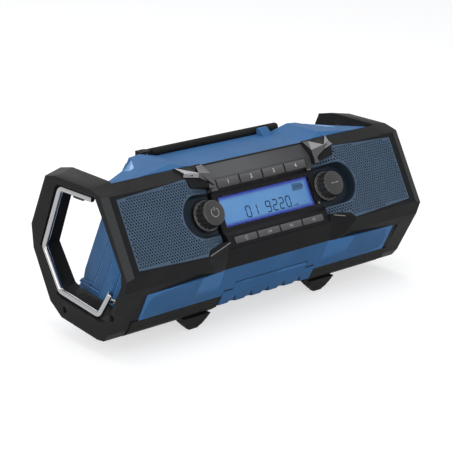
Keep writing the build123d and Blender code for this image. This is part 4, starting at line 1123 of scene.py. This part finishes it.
class RADIO_OT_claws(bpy.types.Operator):
    """Adds satin caps on the bezel's claws and bright strips below them: painted reflections and painted
    highlights
    """

    bl_idname = "radio.claws"
    bl_label = "Claws"

    OUTER_TOP = (97.0, -27.5, 159.2)
    TIP, TIP_LOW = (80.5, -43.5, 155.3), (80.9, -43.4, 151.0)
    OUTER_LOW, NOTCH = (96.0, -40.0, 152.6), (93.1, -37.3, 155.4)
    LEG_OUTER, LEG_INNER, CREASE = (70.6, -45.2, 146.3), (65.2, -47.6, 141.8), (65.1, -41.9, 151.7)
    HOOD_INNER, HOOD_OUTER = (65.0, -29.1, 157.3), (72.4, -29.5, 157.1)
    CAP = ((OUTER_TOP, NOTCH, TIP), (NOTCH, OUTER_LOW, TIP_LOW), (NOTCH, TIP_LOW, TIP))
    ARMS = ((TIP, TIP_LOW, LEG_OUTER), (TIP, LEG_OUTER, LEG_INNER), (TIP, LEG_INNER, CREASE),
            (TIP, CREASE, HOOD_OUTER), (HOOD_OUTER, CREASE, HOOD_INNER))
    CAP_PROUD, CAP_THICKNESS, CAP_OFFSET = (0, -0.25, 0.35), 0.0012, 0.1
    HOOD_LEG = [(68.2, 75.7), (65.2, 75.7), (65.1, 62.3), (71.2, 62.6), (68.8, 70.6)]
    RIDGE = [(94.4, 1.1), (81.5, 4.6), (67.2, 8.6)]

    def execute(self, context):
        for side, name in SIDES:
            self.cap(side, name)
            # The hood's leg takes the arms' satin metal, a dim painted reflection.
            leg = Marks(-0.3, 0.62)
            leg.plate(mirrored(self.HOOD_LEG, side)[::side])
            leg.piece(f"{name}_hood_leg", "claw_arm", "panel_grey")
            # Bright line below the claw, a painted highlight.
            ridge_highlight = Marks(-0.5, 0.72)
            line = mirrored(self.RIDGE, side)[side > 0:]
            for ends in zip(line, line[1:]):
                ridge_highlight.bar(*sorted(ends), 0.9)
            ridge_highlight.piece(f"{name}_ridge", "rim", "panel_grey")
        return {"FINISHED"}

    def cap(self, side, name):
        """Bright cap over the claw, and the duller arms that run from it to the hood: satin metal that paints
        in reflections, in a lit and a dimmer copy.
        """
        bm = bmesh.new()
        corners = {}
        for look, faces in enumerate((self.CAP, self.ARMS)):
            for face in faces:
                for x, y, z in face:
                    if (x, y, z) not in corners:
                        corners[x, y, z] = bm.verts.new(place(side * x, y, z))
                bm.faces.new([corners[point] for point in face]).material_index = look
        face_along(bm, Vector((0, -1, 0)))
        bmesh.ops.translate(bm, verts=bm.verts, vec=place(*self.CAP_PROUD))
        cap = add_piece(mesh_from(f"{name}_claw_painted_reflection", bm), ["claw", "claw_arm"])
        thicken(cap, self.CAP_THICKNESS, self.CAP_OFFSET)
        round_edges(cap, 0.0002)


class RADIO_OT_grilles(bpy.types.Operator):
    """Makes the perforated speaker grilles"""

    bl_idname = "radio.grilles"
    bl_label = "Speaker grilles"

    def execute(self, context):
        for side, name in SIDES:
            replace(make_grille(f"{name}_grille_sheet", side), f"{name}_grille")
        return {"FINISHED"}


class RADIO_OT_display(bpy.types.Operator):
    """Finishes the control panel and the display with its digits"""

    bl_idname = "radio.display"
    bl_label = "Panel and display"

    DIGIT_WIDTH, DIGIT_HEIGHT, DIGIT_LOW, STROKE = 6.5, 11.6, 27.9, 1.15
    DIGITS = (("01", -29.2, 8.4), ("9220", -3.6, 8.65))
    POINT_X, UNIT_X, UNIT_PITCH = 12.9, 31.8, 2.2
    BATTERY_X, BATTERY_S, BATTERY_WIDTH, BATTERY_HEIGHT = 35.8, 42.6, 12.6, 6.4

    def execute(self, context):
        dress("control_panel", 0.0004)
        dress("lcd_lens")
        dress("lcd_glass")
        marks = Marks(GLASS_TOP + 0.03)
        for text, start, pitch in self.DIGITS:
            for i, digit in enumerate(text):
                display_digit(marks, digit, start + i * pitch, self.DIGIT_LOW, self.DIGIT_WIDTH,
                              self.DIGIT_HEIGHT, self.STROKE)
        marks.box(self.POINT_X, self.DIGIT_LOW + 0.4, 0.8, 0.8)
        for i in range(3):
            marks.box(self.UNIT_X + self.UNIT_PITCH * i, self.DIGIT_LOW + 0.5 + 0.3 * i, 1.2, 1.0 + 0.6 * i)
        self.battery(marks)
        marks.piece("display_marks", "display_ink", "lcd_blue")
        return {"FINISHED"}

    def battery(self, marks, stroke=0.75, inset=1.3):
        """Outline of a battery with slanting bars inside."""
        x, s, width, height = self.BATTERY_X, self.BATTERY_S, self.BATTERY_WIDTH, self.BATTERY_HEIGHT
        for level in (s + stroke / 2, s + height - stroke / 2):
            marks.box(x + width / 2, level, width, stroke)
        for end in (x + stroke / 2, x + width - stroke / 2):
            marks.box(end, s + height / 2, stroke, height - 2 * stroke)
        marks.box(x + width + 0.7, s + height / 2, 1.4, 2.6)
        for i in range(4):
            left = x + inset + 2.55 * i
            marks.plate([(left, s + inset), (left + 1.7, s + inset), (left + 2.2, s + height - inset),
                         (left + 0.5, s + height - inset)])


class RADIO_OT_keys(bpy.types.Operator):
    """Finishes the keys and prints their marks"""

    bl_idname = "radio.keys"
    bl_label = "Keys"

    WELL_LEVEL, WELL_THICKNESS = -5.3, 0.78
    WELL_SIDE, WELL_SIDE_MIDDLE, WELL_SIDE_HEIGHT = 14.0, 65.4, 7.8
    WELL_TOP, WELL_TOP_WIDTH = 69.7, 28.4
    JOINT = [(-27.0, 155.6), (-24.9, 155.6), (-24.9, 156.7), (-27.0, 156.7)]
    JOINT_HALF = 64.9
    TUNE_X, TUNE_S, TUNE_LEVEL = (57.9, 61.3), 58.6, -5.38
    CONFIRM_X, CONFIRM_S, CONFIRM_LEVEL = 61.4, 24.6, -8.46

    def execute(self, context):
        for number in range(1, 5):
            for kind in ("preset", "function"):
                dress(f"{kind}_key_{number}", 0.0005)
            print_number(number)
            marks = Marks(KEY_TOP + 0.02)
            self.draw_mark(marks, number, key_middle(number) + 0.5, FUNCTION_MIDDLE)
            marks.piece(f"function_mark_{number}", "grey_ink", "key_grey", f"function_key_{number}")
        self.draw_signs()
        self.key_wells()
        joint = bmesh.new()
        bar_along(joint, self.JOINT, -self.JOINT_HALF, self.JOINT_HALF)
        piece_from("hood_joint", joint, "rubber_black")
        return {"FINISHED"}

    def key_wells(self):
        """Black plates beside and above the upper keys, painted shadow in the gaps."""
        shadow_plates = Marks(self.WELL_LEVEL, self.WELL_THICKNESS)
        for number in range(1, 5):
            x = key_middle(number)
            for side in (-1, 1):
                shadow_plates.box(x + side * self.WELL_SIDE, self.WELL_SIDE_MIDDLE, 0.9, self.WELL_SIDE_HEIGHT)
            shadow_plates.box(x, self.WELL_TOP, self.WELL_TOP_WIDTH, 0.7)
        shadow_plates.piece("key_wells", "rubber_black", "rubber_black")

    def draw_mark(self, marks, number, x, s):
        """Plain sign on a lower key: an open ring, skip back, skip on, and rising bars."""
        if number == 1:
            marks.arc(x, s, 1.7, 0.55, 40, 320)
            marks.box(x, s, 1.0, 1.0)
        elif number == 4:
            for i in range(3):
                marks.box(x + 1.5 * (i - 1), s, 0.75, 1.6 + 0.9 * i)
        else:
            side = -1 if number == 2 else 1
            marks.triangle(x - side * 0.9, s, 3.0, side)
            marks.box(x + side * 1.2, s, 0.7, 3.2)

    def draw_signs(self):
        """Small plain signs beside the tuning knob."""
        tune = Marks(self.TUNE_LEVEL)
        for x, side in zip(self.TUNE_X, (-1, 1)):
            tune.triangle(x, self.TUNE_S, 1.9, side)
        tune.piece("tune_sign", "grey_ink", "panel_grey")
        confirm = Marks(self.CONFIRM_LEVEL)
        for start in (0, 180):
            confirm.arc(self.CONFIRM_X, self.CONFIRM_S, 0.9, 0.45, start, start + 180)
        confirm.piece("confirm_sign", "grey_ink", "panel_grey")


class RADIO_OT_knobs(bpy.types.Operator):
    """Makes the fluted knobs with their marks and bright rims, which are painted highlights"""

    bl_idname = "radio.knobs"
    bl_label = "Knobs"

    def execute(self, context):
        for side, name in ((-1, "volume_knob"), (1, "tuning_knob")):
            x = side * KNOB_X
            make_knob(f"{name}_cap", x, name, name)
            make_rim(f"{name}_rim", x, name)
            marks = Marks(KNOB_TOP - 0.6, 0.54)
            if side < 0:
                marks.arc(x, KNOB_S, 4.3, 0.75, 118, 422, steps=28)
                marks.box(x, KNOB_S + 3.4, 0.8, 3.6)
            else:
                marks.box(x, KNOB_S, 9.0, 0.9)
            marks.piece(f"{name}_mark", "grey_ink", "knob_black", name)
        return {"FINISHED"}


class RADIO_OT_hook(bpy.types.Operator):
    """Makes the hanging hook's wire and finishes its clip and keeper"""

    bl_idname = "radio.hook"
    bl_label = "Hanging hook"

    def execute(self, context):
        replace(make_wire("hook_wire"), "hanging_hook")
        dress("hook_clip", 0.0003)
        dress("hook_keeper")
        return {"FINISHED"}


class RADIO_OT_ports(bpy.types.Operator):
    """Finishes the port cover and the sockets behind it"""

    bl_idname = "radio.ports"
    bl_label = "Ports"

    SLOT = [(-58.2, 45.55), (-56.95, 45.55), (-56.95, 44.75), (-57.95, 44.75)]
    EAR_SLOT = [(-55.15, 38.15), (-54.6, 38.4), (-54.0, 37.0), (-54.55, 36.75)]
    SLOT_HALF, EAR_START, EAR_END = 47.2, 48.0, 59.0

    def execute(self, context):
        # The port cover takes the blue with painted shade in its hollows.
        dress("port_cover", 0.0005).data.materials[0] = finish("cover_blue")
        # Black strips in the gap above the cover and beside its ears are painted shadow.
        gap_shadow = bmesh.new()
        bar_along(gap_shadow, self.SLOT, -self.SLOT_HALF, self.SLOT_HALF)
        for side in (-1, 1):
            bar_along(gap_shadow, self.EAR_SLOT, side * self.EAR_START, side * self.EAR_END)
        piece_from("port_gap_shadow", gap_shadow, "rubber_black")
        for name in ("port_cover_pin", "port_box", "usb_socket", "aux_socket", "dc_socket"):
            dress(name)
        return {"FINISHED"}


class RADIO_OT_antenna(bpy.types.Operator):
    """Finishes the folding aerial"""

    bl_idname = "radio.antenna"
    bl_label = "Aerial"

    def execute(self, context):
        dress("antenna", 0.0003)
        dress("antenna_base", 0.0004)
        dress("antenna_pin")
        return {"FINISHED"}


class RADIO_OT_feet(bpy.types.Operator):
    """Finishes the bumpers, the feet and the battery bay"""

    bl_idname = "radio.feet"
    bl_label = "Feet and battery bay"

    def execute(self, context):
        for name in ("left_base_bumper", "right_base_bumper", "left_rear_foot", "right_rear_foot",
                     "battery_bay"):
            dress(name, sizes().edge)
        dress("foot_pads")
        dress("battery_terminals", 0.0003)
        return {"FINISHED"}


class RADIO_OT_inside(bpy.types.Operator):
    """Finishes the pieces inside the radio"""

    bl_idname = "radio.inside"
    bl_label = "Inside"

    def execute(self, context):
        for name in sorted(set(nodes) - DRESSED):
            dress(name)
        return {"FINISHED"}


STEPS = (RADIO_OT_stage, RADIO_OT_shell, RADIO_OT_end_walls, RADIO_OT_frames, RADIO_OT_claws,
         RADIO_OT_grilles, RADIO_OT_display, RADIO_OT_keys, RADIO_OT_knobs, RADIO_OT_hook, RADIO_OT_ports,
         RADIO_OT_antenna, RADIO_OT_feet, RADIO_OT_inside)


class RADIO_PT_panel(bpy.types.Panel):
    """Lists the steps that dress the radio"""

    bl_idname = "RADIO_PT_panel"
    bl_label = "Jobsite radio"
    bl_space_type = "VIEW_3D"
    bl_region_type = "UI"
    bl_category = "Radio"

    def draw(self, context):
        for step in STEPS:
            self.layout.operator(step.bl_idname)
        for group in (context.scene.radio_colours, context.scene.radio_sizes):
            for key in group.bl_rna.properties.keys():
                if key not in ("rna_type", "name"):
                    self.layout.prop(group, key)


CLASSES = (RadioColours, RadioSizes, *STEPS, RADIO_PT_panel)


def register():
    for item in CLASSES:
        bpy.utils.register_class(item)
    bpy.types.Scene.radio_colours = bpy.props.PointerProperty(type=RadioColours)
    bpy.types.Scene.radio_sizes = bpy.props.PointerProperty(type=RadioSizes)


def unregister():
    del bpy.types.Scene.radio_sizes
    del bpy.types.Scene.radio_colours
    for item in reversed(CLASSES):
        bpy.utils.unregister_class(item)


def main():
    register()
    for step in STEPS:
        group, name = step.bl_idname.split(".")
        getattr(getattr(bpy.ops, group), name)()


if __name__ == "__main__":
    main()
